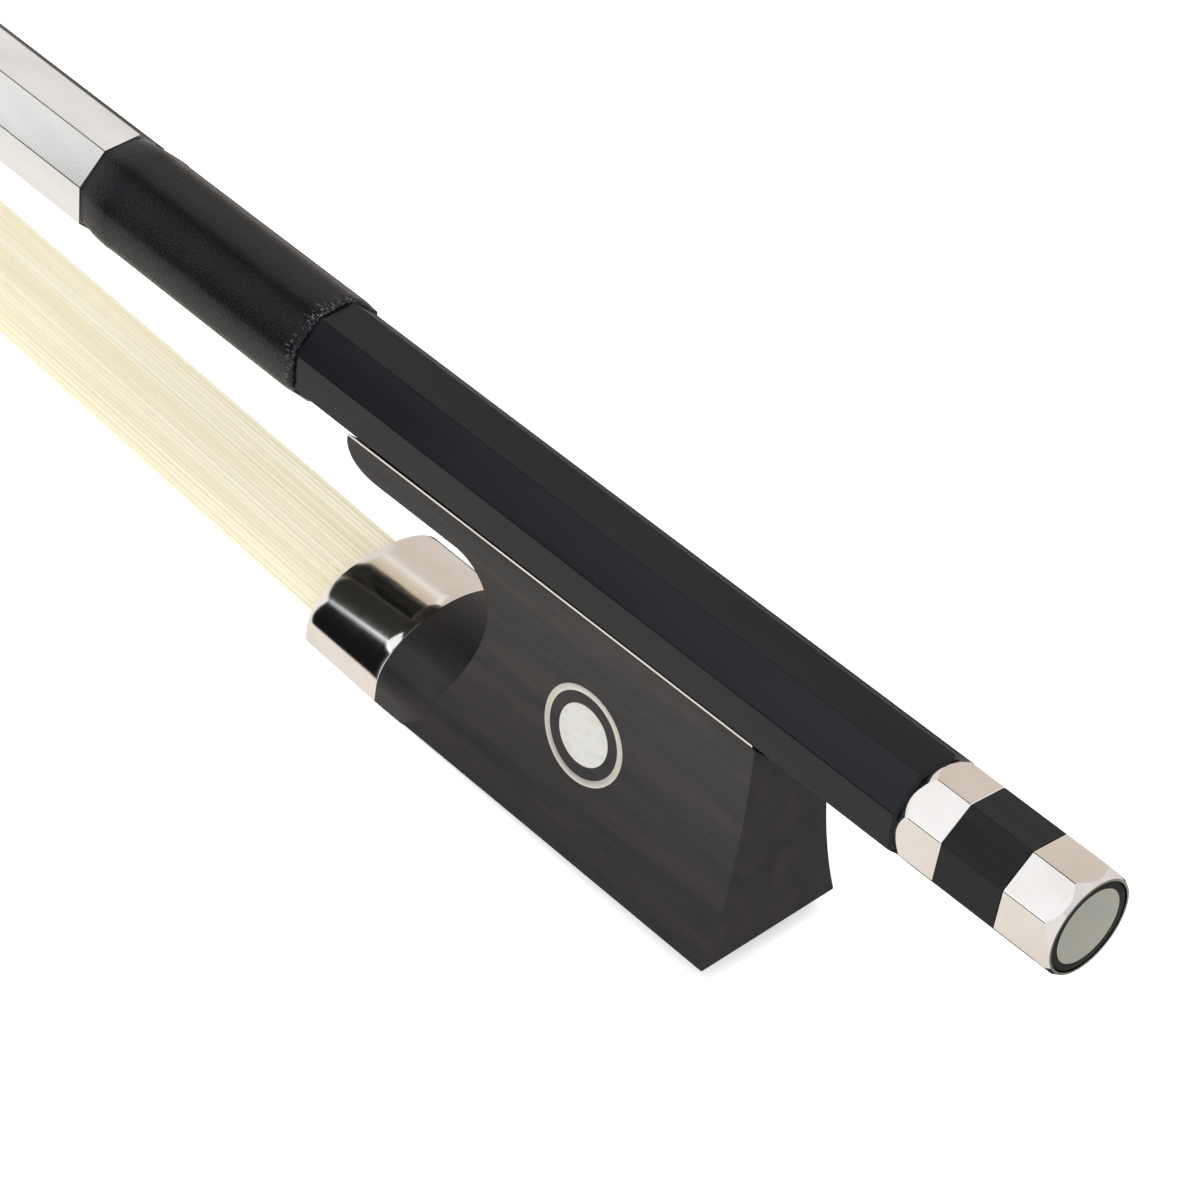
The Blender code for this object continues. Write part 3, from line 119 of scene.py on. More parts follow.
def linear(code: str) -> tuple[float, float, float, float]:
    """Turns an sRGB hex colour into linear red, green, blue and alpha.

    Args:
        code: The colour as "#RRGGBB".

    Returns:
        The linear colour with full alpha.
    """
    channels = [int(code[i:i + 2], 16) / 255 for i in (1, 3, 5)]
    made = [c / 12.92 if c <= 0.04045 else ((c + 0.055) / 1.055) ** 2.4 for c in channels]
    return made[0], made[1], made[2], 1.0


def feed(tree: Tree, node: Node, inputs: dict) -> None:
    """Sets a node's sockets to values, or links other nodes to them.

    Args:
        tree: The tree that holds the node.
        node: The node to feed.
        inputs: Socket name or number to a value, an output socket, or a node, for its first output.
    """
    for key, value in inputs.items():
        if isinstance(value, Node):
            value = value.outputs[0]
        if isinstance(value, Socket):
            tree.links.new(value, node.inputs[key])
        else:
            node.inputs[key].default_value = value


def add_node(tree: Tree, kind: str, inputs: Union[dict, Sequence] = (), stops: Stops = (),
             **settings: Any) -> Node:
    """Adds one shader node.

    Args:
        tree: The material's or world's node tree.
        kind: The node's type, without its leading "ShaderNode".
        inputs: What feeds its sockets, by their names or in their order.
        stops: Position and hex colour of each stop of a colour ramp, in rising order.
        **settings: Properties of the node itself.

    Returns:
        The new node.
    """
    node = tree.nodes.new("ShaderNode" + kind)
    for name, value in settings.items():
        setattr(node, name, value)
    feed(tree, node, inputs if isinstance(inputs, dict) else dict(enumerate(inputs)))
    if stops:
        elements = node.color_ramp.elements
        while len(elements) < len(stops):
            elements.new(0.5)
        for element, (place, code) in zip(elements, stops):
            element.position = place
            element.color = linear(code)
    return node


@dataclass(frozen=True)
class Grain:
    """Noise of a size in millimetres along x, y and z, lined up with the piece by a turn about y.

    A finer grain can be laid over it by a share of its own height, and the whole can be
    stretched, so that it runs from 0 to 1 between two of its values.
    """

    size_mm: Triple
    turn: float = 0.0
    detail: float = 3.0
    distortion: float = 0.0
    source: str = "Object"
    finer: Optional["Grain"] = None
    share: float = 0.0
    stretch: Optional[Span] = None

    def place(self, tree: Tree) -> Node:
        """Adds coordinates in which one unit is the grain's size.

        Args:
            tree: The material's node tree.

        Returns:
            The node that gives them.
        """
        start = add_node(tree, "TexCoord").outputs[self.source]
        turned = add_node(tree, "Mapping", {"Vector": start, "Rotation": (0.0, self.turn, 0.0)})
        scale = [1.0 / MM / size for size in self.size_mm]
        return add_node(tree, "Mapping", {"Vector": turned, "Scale": scale})

    def draw(self, tree: Tree) -> Node:
        """Adds the grain to a material.

        Args:
            tree: The material's node tree.

        Returns:
            The node that gives the grain's value.
        """
        made = add_node(tree, "TexNoise", {"Vector": self.place(tree), "Scale": 1.0, "Detail": self.detail,
                                           "Distortion": self.distortion})
        if self.finer:
            made = add_node(tree, "Math", (self.finer.draw(tree), self.share, made), operation="MULTIPLY_ADD")
        if self.stretch:
            made = add_node(tree, "MapRange", (made, *self.stretch, 0.0, 1.0))
        return made


@dataclass(frozen=True)
class Finish:
    """A material: its main colour and shine, and the grains that its tone, shine and height follow."""

    name: str
    colour: str
    roughness: float
    metallic: float = 0.0
    ior: float = 1.5
    specular: float = 0.5
    tone: Optional[Grain] = None
    shine: Optional[Grain] = None
    shine_read: Span = (0.3, 0.7)
    shine_change: Span = (-0.08, 0.08)
    height: Optional[Grain] = None
    depth_mm: float = 0.01
    relief: float = 0.5
    layers: tuple[tuple[str, float], ...] = ()

    def make(self) -> bpy.types.Material:
        """Builds the material.

        Returns:
            The finished material.
        """
        made = bpy.data.materials.new(self.name)
        made.use_nodes = True
        tree = made.node_tree
        shader = tree.nodes["Principled BSDF"]
        feed(tree, shader, {"Base Color": linear(self.colour), "Roughness": self.roughness,
                            "Metallic": self.metallic, **dict(self.layers)})
        if self.metallic == 0.0:
            feed(tree, shader, {"IOR": self.ior, "Specular IOR Level": self.specular})
        if self.shine:
            shine = (self.shine.draw(tree), *self.shine_read, *self.rough_ends())
            feed(tree, shader, {"Roughness": add_node(tree, "MapRange", shine)})
        bump = {"Height": self.raised(tree), "Distance": self.depth_mm * MM, "Strength": self.relief}
        feed(tree, shader, {"Base Color": self.coloured(tree), "Normal": add_node(tree, "Bump", bump)})
        return made

    def tones(self) -> Stops:
        """Where the tone's grain has which colour."""
        return (0.0, self.colour), (1.0, self.colour)

    def rough_ends(self) -> Span:
        """The roughness where the shine's grain is low and where it is high."""
        return self.roughness + self.shine_change[0], self.roughness + self.shine_change[1]

    def coloured(self, tree: Tree) -> Feed:
        """Adds the colour."""
        return add_node(tree, "ValToRGB", (self.tone.draw(tree),), self.tones())

    def raised(self, tree: Tree) -> Feed:
        """Adds the height."""
        return self.height.draw(tree)


@dataclass(frozen=True)
class Lacquer(Finish):
    """Black lacquer, sprayed on wood and rubbed down: satin, faintly cloudy, the grain just showing."""

    tone: Grain = Grain((20.0, 3.0, 3.0), TILT)
    shine: Grain = Grain((20.0, 3.0, 3.0), TILT)
    shine_change: Span = (-0.04, 0.05)
    height: Grain = Grain((14.0, 0.5, 0.5), TILT, detail=5.0)
    depth_mm: float = 0.012

    def tones(self) -> Stops:
        """Two blacks, one a little deeper."""
        return (0.3, "#0C0D10"), (0.7, "#131418")


@dataclass(frozen=True)
class EbonyWood(Finish):
    """Ebony, scraped and oiled: near black, with brown clouds and streaks, and fine pores that are duller."""

    dark: str = "#1B1A1A"
    brown: str = "#2D2726"
    tone: Grain = Grain((22.0, 2.6, 2.6), TILT, distortion=0.6,
                        finer=Grain((9.0, 0.35, 0.35), TILT), share=0.35)
    shine: Grain = Grain((2.2, 0.14, 0.14), TILT, detail=2.0)
    shine_read: Span = (0.35, 0.6)
    shine_change: Span = (0.08, 0.0)
    height: Grain = Grain((2.2, 0.14, 0.14), TILT, detail=2.0, stretch=(0.3, 0.45))
    depth_mm: float = 0.012
    relief: float = 0.35

    def tones(self) -> Stops:
        """Black to brown."""
        return (0.5, self.dark), (0.68, self.colour), (0.88, self.brown)


@dataclass(frozen=True)
class Leather(Finish):
    """Thin black calf, wrapped and glued: pebbled grain, and a cut rear edge with pale fibres, whose glints
    are painted into the colour as pale specks.
    """

    tone: Grain = Grain((6.0, 3.0, 3.0), TILT)
    shine: Grain = Grain((0.22, 0.22, 0.22))
    height: Grain = Grain((0.45, 0.45, 0.45))
    # Pale specks along the cut edge: real fibres, with their glints painted in as colour
    fibre_glint: Grain = Grain((0.5, 0.11, 0.11), TILT, detail=1.0, stretch=(0.62, 0.74))
    fibre_glint_colour: str = "#8D9095"
    edge_mm: Span = (0.2, 1.3)
    pebble_rim: float = 0.35
    fine_share: float = 0.6
    depth_mm: float = 0.02
    relief: float = 0.6

    def tones(self) -> Stops:
        """Patches of two blacks."""
        return (0.3, "#0B0C0E"), (0.7, "#121316")

    def coloured(self, tree: Tree) -> Feed:
        """Adds the patches, and pale fibre specks with painted glints near the start of the piece's own
        length.

        Args:
            tree: The material's node tree.

        Returns:
            The colour.
        """
        along = add_node(tree, "SeparateXYZ", (add_node(tree, "TexCoord").outputs["UV"],)).outputs["X"]
        near_edge = add_node(tree, "MapRange", (along, self.edge_mm[0] * MM, self.edge_mm[1] * MM, 1.0, 0.0))
        # Painted glint: pale specks mixed into the colour near the cut edge
        glint = add_node(tree, "Math", (near_edge, self.fibre_glint.draw(tree)), operation="MULTIPLY")
        mixed = add_node(tree, "Mix", {"Factor": glint, "A": super().coloured(tree).outputs[0],
                                       "B": linear(self.fibre_glint_colour)}, data_type="RGBA")
        return mixed.outputs["Result"]

    def raised(self, tree: Tree) -> Feed:
        """Adds pebbles with sunk borders, and the hide's own fine grain.

        Args:
            tree: The material's node tree.

        Returns:
            The height.
        """
        spread = {"Vector": self.height.place(tree), "Scale": 1.0, "Randomness": 1.0}
        cells = add_node(tree, "TexVoronoi", spread, feature="DISTANCE_TO_EDGE")
        pebble = add_node(tree, "MapRange", (cells, 0.0, self.pebble_rim, 0.0, 1.0))
        fine = self.shine.draw(tree)
        return add_node(tree, "Math", (fine, self.fine_share, pebble), operation="MULTIPLY_ADD")


@dataclass(frozen=True)
class PolishedMetal(Finish):
    """Metal, drawn or turned and then buffed: bright, faintly tarnished, with hairline polishing marks."""

    tint: str = "#C8C0B6"
    tone: Grain = Grain((4.0, 4.0, 4.0))
    shine: Grain = Grain((0.06, 3.0, 3.0), TILT)
    height: Grain = Grain((0.06, 3.0, 3.0), TILT)
    depth_mm: float = 0.0006
    relief: float = 0.4

    def tones(self) -> Stops:
        """Tarnish to bright metal."""
        return (0.3, self.tint), (0.65, self.colour)

    def rough_ends(self) -> Span:
        """The marks change the shine in proportion."""
        return self.roughness * 0.75, self.roughness * 1.35


@dataclass(frozen=True)
class WireWinding(Finish):
    """Fine silver wire, wound turn against turn and burnished almost smooth, with a little tarnish."""

    tone: Grain = Grain((9.0, 2.0, 2.0))
    height: Grain = Grain((0.28, 1.0, 1.0), source="UV")
    depth_mm: float = 0.0012
    relief: float = 0.35

    def tones(self) -> Stops:
        """Tarnish to bright silver."""
        return (0.3, "#EEEEEC"), (0.7, self.colour)

    def raised(self, tree: Tree) -> Feed:
        """Adds the turns as a wave along the piece's own length, one to a wire.

        Args:
            tree: The material's node tree.

        Returns:
            The height.
        """
        wave = {"Vector": self.height.place(tree), "Scale": 2 * math.pi / 20, "Distortion": 0.0}
        return add_node(tree, "TexWave", wave, wave_type="BANDS", bands_direction="X",
                        wave_profile="SIN").outputs["Fac"]


@dataclass(frozen=True)
class Pearl(Finish):
    """Mother of pearl, sawn and polished clear: milky, with green and rose bands and fine growth lines."""

    warm: str = "#C4BBAE"
    cool: str = "#BCC2BF"
    tone: Grain = Grain((2.4, 2.4, 1.0), math.radians(20.0), detail=4.0, distortion=0.8)
    height: Grain = Grain((0.5, 0.5, 0.15), detail=2.0)
    depth_mm: float = 0.002
    relief: float = 0.3
    layers: tuple = (("Coat Weight", 0.3), ("Coat Roughness", 0.08))

    def tones(self) -> Stops:
        """Green, milk and rose."""
        return (0.3, self.cool), (0.5, self.colour), (0.7, self.warm)


@dataclass(frozen=True)
class Bone(Finish):
    """Bleached bone, filed and buffed: ivory colour with short dark flecks along the plate."""

    tone: Grain = Grain((1.6, 0.18, 0.18), detail=2.0)
    height: Grain = Grain((1.6, 0.18, 0.18), detail=2.0)
    depth_mm: float = 0.006
    relief: float = 0.4

    def tones(self) -> Stops:
        """Flecks, ivory and bleached patches."""
        return (0.28, "#C9BC9E"), (0.42, self.colour), (0.8, "#F0EBDD")


@dataclass(frozen=True)
class PlainWood(Finish):
    """Bare maple or willow, knife-cut: pale brown, with fine grain that stands upright in the plug."""

    tone: Grain = Grain((0.25, 0.25, 3.0), detail=4.0)
    height: Grain = Grain((0.25, 0.25, 3.0), detail=4.0)
    depth_mm: float = 0.02
    relief: float = 0.6

    def tones(self) -> Stops:
        """Late wood and early wood."""
        return (0.3, "#A27A4C"), (0.7, self.colour)


@dataclass(frozen=True)
class Strands(Finish):
    """Unbleached horsehair: cream, each hair and each bundle a little lighter or darker than the next."""

    tone: Grain = Grain((90.0, 1.3, 1.0), detail=2.0, source="UV", share=0.45,
                        finer=Grain((60.0, 0.16, 1.0), source="UV"))
    height: Grain = Grain((60.0, 0.16, 1.0), source="UV")
    depth_mm: float = 0.03
    layers: tuple = (("Sheen Weight", 0.15), ("Sheen Roughness", 0.4))

    def tones(self) -> Stops:
        """Darker and lighter hairs."""
        return (0.45, "#E6DAB8"), (0.7, self.colour), (0.95, "#FAF6E6")


class Paint:
    """Every finish of the bow, made once."""

    def __init__(self) -> None:
        """Builds one material for each of the record's slots, and three for single pieces."""
        made = {
            Slot.STICK: Lacquer("satin_black_lacquer_on_wood", "#101115", 0.22, specular=0.22),
            Slot.EBONY: EbonyWood("oiled_ebony", "#232121", 0.4, specular=0.42),
            Slot.LEATHER: Leather("black_calf_leather", "#121316", 0.32, specular=0.27),
            Slot.NICKEL: PolishedMetal("polished_nickel_silver", "#F0EBE5", 0.11, 1.0, tint="#E8E2DA"),
            Slot.WINDING: WireWinding("burnished_silver_wire", "#F8F8F6", 0.13, 1.0),
            Slot.BRASS: PolishedMetal("cast_brass", "#D8B56A", 0.3, 1.0, tint="#BF9A55"),
            Slot.STEEL: PolishedMetal("turned_steel", "#B9BABD", 0.25, 1.0, tint="#A3A4A8"),
            Slot.PEARL: Pearl("mother_of_pearl", "#CAC7C2", 0.22, ior=1.56),
            Slot.BONE: Bone("bleached_bone", "#E6DEC9", 0.38, ior=1.54),
            Slot.PLUG: PlainWood("knife_cut_maple", "#C8A270", 0.6),
            Slot.BINDING: Strands("knotted_horsehair", "#D9C59A", 0.6),
            Slot.HAIR: Strands("unbleached_horsehair", "#F1E9CF", 0.45, ior=1.55),
        }
        self.by_slot = {slot: finish.make() for slot, finish in made.items()}
        self.end_pearl = Pearl("grey_green_pearl", "#A3A294", 0.25, ior=1.56, warm="#A5A092",
                               cool="#9BA097").make()
        self.eye_ring = PolishedMetal("filed_silver", "#F8F4EC", 0.45, 1.0, tint="#F2ECE2").make()
        self.core = EbonyWood("dyed_ebony", "#141618", 0.33, specular=0.25, dark="#111214",
                              brown="#191A1B").make()

    def carry_over(self, nodes: dict[str, Piece]) -> None:
        """Gives each CAD node the finish of the slot that its own material names.

        Args:
            nodes: The CAD nodes by name.
        """
        for name, node in nodes.items():
            for held in node.material_slots:
                held.material = self.by_slot[Slot(held.material.name)]
                LOG.info("%s has its solid dressed in %s", name, held.material.name)


# The bench: modelling by operators, always on one chosen object

def deselect() -> None:
    """Leaves edit mode and selects nothing."""
    if bpy.context.object and bpy.context.object.mode != "OBJECT":
        bpy.ops.object.mode_set(mode="OBJECT")
    bpy.ops.object.select_all(action="DESELECT")


def pick_up(piece: Piece) -> None:
    """Makes one object the only selected one, and the active one.

    Args:
        piece: The object.
    """
    deselect()
    piece.select_set(True)
    bpy.context.view_layer.objects.active = piece


def named(name: str) -> Piece:
    """Leaves edit mode and names the object that was just made.

    Args:
        name: Its name.

    Returns:
        The object.
    """
    if bpy.context.object.mode != "OBJECT":
        bpy.ops.object.mode_set(mode="OBJECT")
    made = bpy.context.object
    made.name = name
    made.data.name = name
    return made


def loft(name: str, outlines: Sequence[Outline], capped: bool = True) -> Piece:
    """Extrudes a loop of points from outline to outline.

    Args:
        name: The piece's name.
        outlines: Loops with equally many points, in order.
        capped: Whether both ends are closed.

    Returns:
        The new object; its points remember their "ring" and their "spoke".
    """
    deselect()
    bpy.ops.mesh.primitive_circle_add(vertices=len(outlines[0]), radius=1.0,
                                      fill_type="NGON" if capped else "NOTHING")
    bpy.ops.object.mode_set(mode="EDIT")
    bpy.ops.mesh.select_mode(type="VERT")
    made = bpy.context.object
    mesh = bmesh.from_edit_mesh(made.data)
    spoke = mesh.verts.layers.int.new("spoke")
    ring = mesh.verts.layers.int.new("ring")
    for vert in mesh.verts:
        vert[spoke] = vert.index
        vert.co = outlines[0][vert.index]
    for number, outline in enumerate(outlines[1:], start=1):
        bpy.ops.mesh.extrude_region_move()
        mesh = bmesh.from_edit_mesh(made.data)
        spoke = mesh.verts.layers.int["spoke"]
        ring = mesh.verts.layers.int["ring"]
        for vert in mesh.verts:
            if vert.select:
                vert[ring] = number
                vert.co = outline[vert[spoke]]
    bmesh.update_edit_mesh(made.data)
    bpy.ops.mesh.select_all(action="SELECT")
    bpy.ops.mesh.normals_make_consistent(inside=False)
    return named(name)


def sleeve(name: str, outlines: Sequence[Outline]) -> Piece:
    """A tube with a wall: a loft whose outlines run out along it, back inside it, and close.

    Args:
        name: The piece's name.
        outlines: Loops from the first edge, over the outside, back through the bore.

    Returns:
        The closed tube.
    """
    made = loft(name, [*outlines, outlines[0]], capped=False)
    bpy.ops.object.mode_set(mode="EDIT")
    bpy.ops.mesh.select_all(action="SELECT")
    bpy.ops.mesh.remove_doubles(threshold=0.001 * MM)
    bpy.ops.mesh.normals_make_consistent(inside=False)
    return named(made.name)


def straight(name: str, line: Sequence[Span], places: Sequence[float]) -> Piece:
    """A straight length of one outline, along x.

    Args:
        name: The piece's name.
        line: The outline as (y, z).
        places: Where along x it has an edge, in order.

    Returns:
        The new object.
    """
    return loft(name, [[Vector((x, y, z)) for y, z in line] for x in places])


def box_line(half: float, low: float, high: float) -> list[Span]:
    """A level rectangle as (y, z), as wide as twice a half, from low to high."""
    return [(-half, low), (half, low), (half, high), (-half, high)]


def shape_with(piece: Piece, kind: str, **settings: Any) -> None:
    """Adds a modifier to a piece and applies it.

    Args:
        piece: The object to change.
        kind: The modifier's type.
        **settings: Its properties.
    """
    pick_up(piece)
    bpy.ops.object.modifier_add(type=kind)
    modifier = piece.modifiers[-1]
    for key, value in settings.items():
        setattr(modifier, key, value)
    bpy.ops.object.modifier_apply(modifier=modifier.name)


def cut(piece: Piece, *tools: Piece, operation: str = "DIFFERENCE") -> None:
    """Cuts, joins or trims a piece with tools, which are used up.

    Args:
        piece: The object to change.
        *tools: Closed shapes.
        operation: The Boolean's operation.
    """
    for tool in tools:
        shape_with(piece, "BOOLEAN", operation=operation, solver="EXACT", object=tool)
        bpy.data.objects.remove(tool, do_unlink=True)


def ease_edges(piece: Piece, width: float, degrees: float = 30.0, segments: int = 2) -> None:
    """Bevels the edges that turn by more than an angle, once stray points are merged.

    Args:
        piece: The object to change.
        width: The bevel's width.
        degrees: The least turn of an edge that is bevelled.
        segments: Faces across the bevel.
    """
    pick_up(piece)
    bpy.ops.object.mode_set(mode="EDIT")
    bpy.ops.mesh.select_all(action="SELECT")
    bpy.ops.mesh.remove_doubles(threshold=width / 8)
    bpy.ops.object.mode_set(mode="OBJECT")
    shape_with(piece, "BEVEL", width=width, segments=segments, limit_method="ANGLE",
               angle_limit=math.radians(degrees), use_clamp_overlap=False)


def shade(piece: Piece, degrees: float, weighted: bool = False) -> None:
    """Shades a piece smooth up to an angle.

    Args:
        piece: The object to shade.
        degrees: Edges that turn further stay sharp.
        weighted: Whether large faces keep their own normal and the bevels take the turn.
    """
    pick_up(piece)
    bpy.ops.object.shade_smooth_by_angle(angle=math.radians(degrees))
    if weighted:
        shape_with(piece, "WEIGHTED_NORMAL", mode="FACE_AREA", keep_sharp=True, weight=100)


def turned(name: str, profile: Sequence[Span], sides: int = 96) -> Piece:
    """A solid turned about x.

    Args:
        name: The piece's name.
        profile: Pairs of x and radius.
        sides: How many sides stand for the round.

    Returns:
        The new object.
    """
    angles = [2 * math.pi * (i + 0.5) / sides for i in range(sides)]
    return loft(name, [[Vector((x, radius * math.cos(a), radius * math.sin(a))) for a in angles]
                       for x, radius in profile])


def settle(piece: Piece, frame_of: Matrix) -> None:
    """Sets a piece drawn in its own frame into the world, with its place in its mesh.

    Args:
        piece: The piece.
        frame_of: Where its frame lies.
    """
    pick_up(piece)
    piece.matrix_world = frame_of
    bpy.ops.object.transform_apply(location=True, rotation=True, scale=True)


def unroll(piece: Piece, lengths: Sequence[float], spokes: int) -> None:
    """Gives a lofted piece a UV map: its own length along u in metres, its girth along v from 0 to 1.

    Args:
        piece: A lofted object that still has its rings and spokes.
        lengths: The length at each ring.
        spokes: How many points each ring has.
    """
    mesh = piece.data
    ring = [entry.value for entry in mesh.attributes["ring"].data]
    spoke = [entry.value for entry in mesh.attributes["spoke"].data]
    while mesh.uv_layers:
        mesh.uv_layers.remove(mesh.uv_layers[0])
    layer = mesh.uv_layers.new(name="run")
    for face in mesh.polygons:
        around = [spoke[mesh.loops[i].vertex_index] for i in face.loop_indices]
        wraps = max(around) - min(around) > spokes / 2
        for loop_index, turn in zip(face.loop_indices, around):
            vertex = mesh.loops[loop_index].vertex_index
            share = (turn + spokes if wraps and turn < spokes / 2 else turn) / spokes
            layer.data[loop_index].uv = (lengths[ring[vertex] % len(lengths)], share)


@dataclass
class Assembly:
    """What every sub-assembly shares: its finishes, its body and its frame."""

    paint: Paint
    body: Optional[Body] = Body.STICK
    lie: Matrix = field(default_factory=lambda: HANDLE.copy())

    def dress(self, piece: Piece, slot: Slot, node: str, finish: Optional[bpy.types.Material] = None) -> None:
        """Finishes a piece: its place, its material from a slot, its body, and hides the CAD node it stands
        for.

        Args:
            piece: The modelled piece, drawn in the assembly's frame.
            slot: The record's slot it takes its finish from.
            node: The CAD node that it replaces.
            finish: A material of its own, where the slot's isn't the one.
        """
        settle(piece, self.lie)
        piece.data.materials.clear()
        piece.data.materials.append(finish or self.paint.by_slot[slot])
        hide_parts(node)
        if self.body:
            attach(piece, self.body.value)
        LOG.info("%s: %d faces, in %s", piece.name, len(piece.data.polygons), piece.data.materials[0].name)


def at(x: float, z: float) -> Vector:
    """A point on the bow's middle plane."""
    return Vector((x, 0.0, z))


def lerp(a: float, b: float, share: float) -> float:
    """The value a share of the way from a to b."""
    return a + (b - a) * share


def clamp(value: float) -> float:
    """The value held between 0 and 1."""
    return min(1.0, max(0.0, value))


def steps(start: float, end: float, step: float) -> list[float]:
    """Evenly spaced values from start to end, no further apart than step."""
    count = max(1, math.ceil(abs(end - start) / step))
    return [lerp(start, end, i / count) for i in range(count + 1)]


def bezier(points: Sequence[Vector], share: float) -> Vector:
    """A point on a Bezier curve of any degree.

    Args:
        points: The curve's control points.
        share: How far along it.

    Returns:
        The point.
    """
    line = list(points)
    while len(line) > 1:
        line = [a.lerp(b, share) for a, b in zip(line, line[1:])]
    return line[0]


def octagon_points(half: float, edge: float) -> tuple[float, float, float]:
    """What an octagon with eased corners needs.

    Args:
        half: Half the width across flats.
        edge: Half the width of the eased corner.

    Returns:
        The angle from a facet's middle to its shoulder, the shoulder's radius and the corner's.
    """
    shoulder = math.atan((half * FLAT_RATIO - edge) / half)
    reach = half / math.cos(shoulder)
    corner = (half / math.cos(EIGHTH / 2) + reach * math.cos(EIGHTH / 2 - shoulder)) / 2
    return shoulder, reach, corner


@dataclass
class StickLine:
    """The stick's run from its rear end to its head: where its axis lies and how thick it is."""

    flats: float = 8.5 * MM
    tip_diameter: float = 5.4 * MM
    taper_power: float = 1.35
    camber_start: float = 25.0 * MM
    octagon_length: float = 120.0 * MM
    rounding_length: float = 25.0 * MM
    head_axis_height: float = 20.5 * MM

    @property
    def heel(self) -> float:
        """Level distance from the rear end to the head's heel."""
        return STICK_END.x - HEEL_X

    def axis(self, distance: float) -> tuple[float, float]:
        """The axis's height and slope at a level distance from the rear end.

        Args:
            distance: Level distance from the rear end.

        Returns:
            The height above the floor, and the slope.
        """
        slope = math.tan(TILT)
        rise = self.head_axis_height - STICK_END.z + slope * self.heel
        bend = 2 * rise / (self.heel - self.camber_start) ** 2
        past = max(0.0, distance - self.camber_start)
        return STICK_END.z - slope * distance + bend * past ** 2 / 2, slope - bend * past

    def half(self, distance: float) -> float:
        """Half the thickness at a distance from the rear end."""
        share = min(1.0, distance / self.heel)
        return lerp(self.flats, self.tip_diameter, share ** self.taper_power) / 2

    def outline(self, distance: float, extra: float = 0.0, rounding: float = 0.0,
                edge: float = EASED_EDGE) -> Outline:
        """The stick's outline, or that of a wrap around it.

        Args:
            distance: Level distance from the rear end.
            extra: How far outside the stick's surface.
            rounding: How round the octagon is at least, from 0 to 1.
            edge: Half the width of the eased corner.

        Returns:
            Thirty-two points, four to a facet, in the handle's frame.
        """
        height, slope = self.axis(distance)
        centre = HANDLE.inverted() @ Vector((STICK_END.x - distance, 0.0, height))
        lean = math.atan(slope) - TILT
        roundness = clamp(max(rounding, (distance - self.octagon_length) / self.rounding_length))
        half = self.half(distance) + extra
        shoulder, wide, corner = octagon_points(half, edge)
        flat = ((0.0, half), (shoulder, wide), (EIGHTH / 2, corner), (EIGHTH - shoulder, wide))
        made = []
        for facet in range(8):
            for step, (angle, radius) in enumerate(flat):
                turn = facet * EIGHTH + lerp(angle, step * EIGHTH / 4, roundness)
                reach = lerp(radius, half, roundness)
                up = reach * math.sin(turn)
                across = reach * math.cos(turn)
                made.append(centre + Vector((-up * math.sin(lean), across, up * math.cos(lean))))
        return made


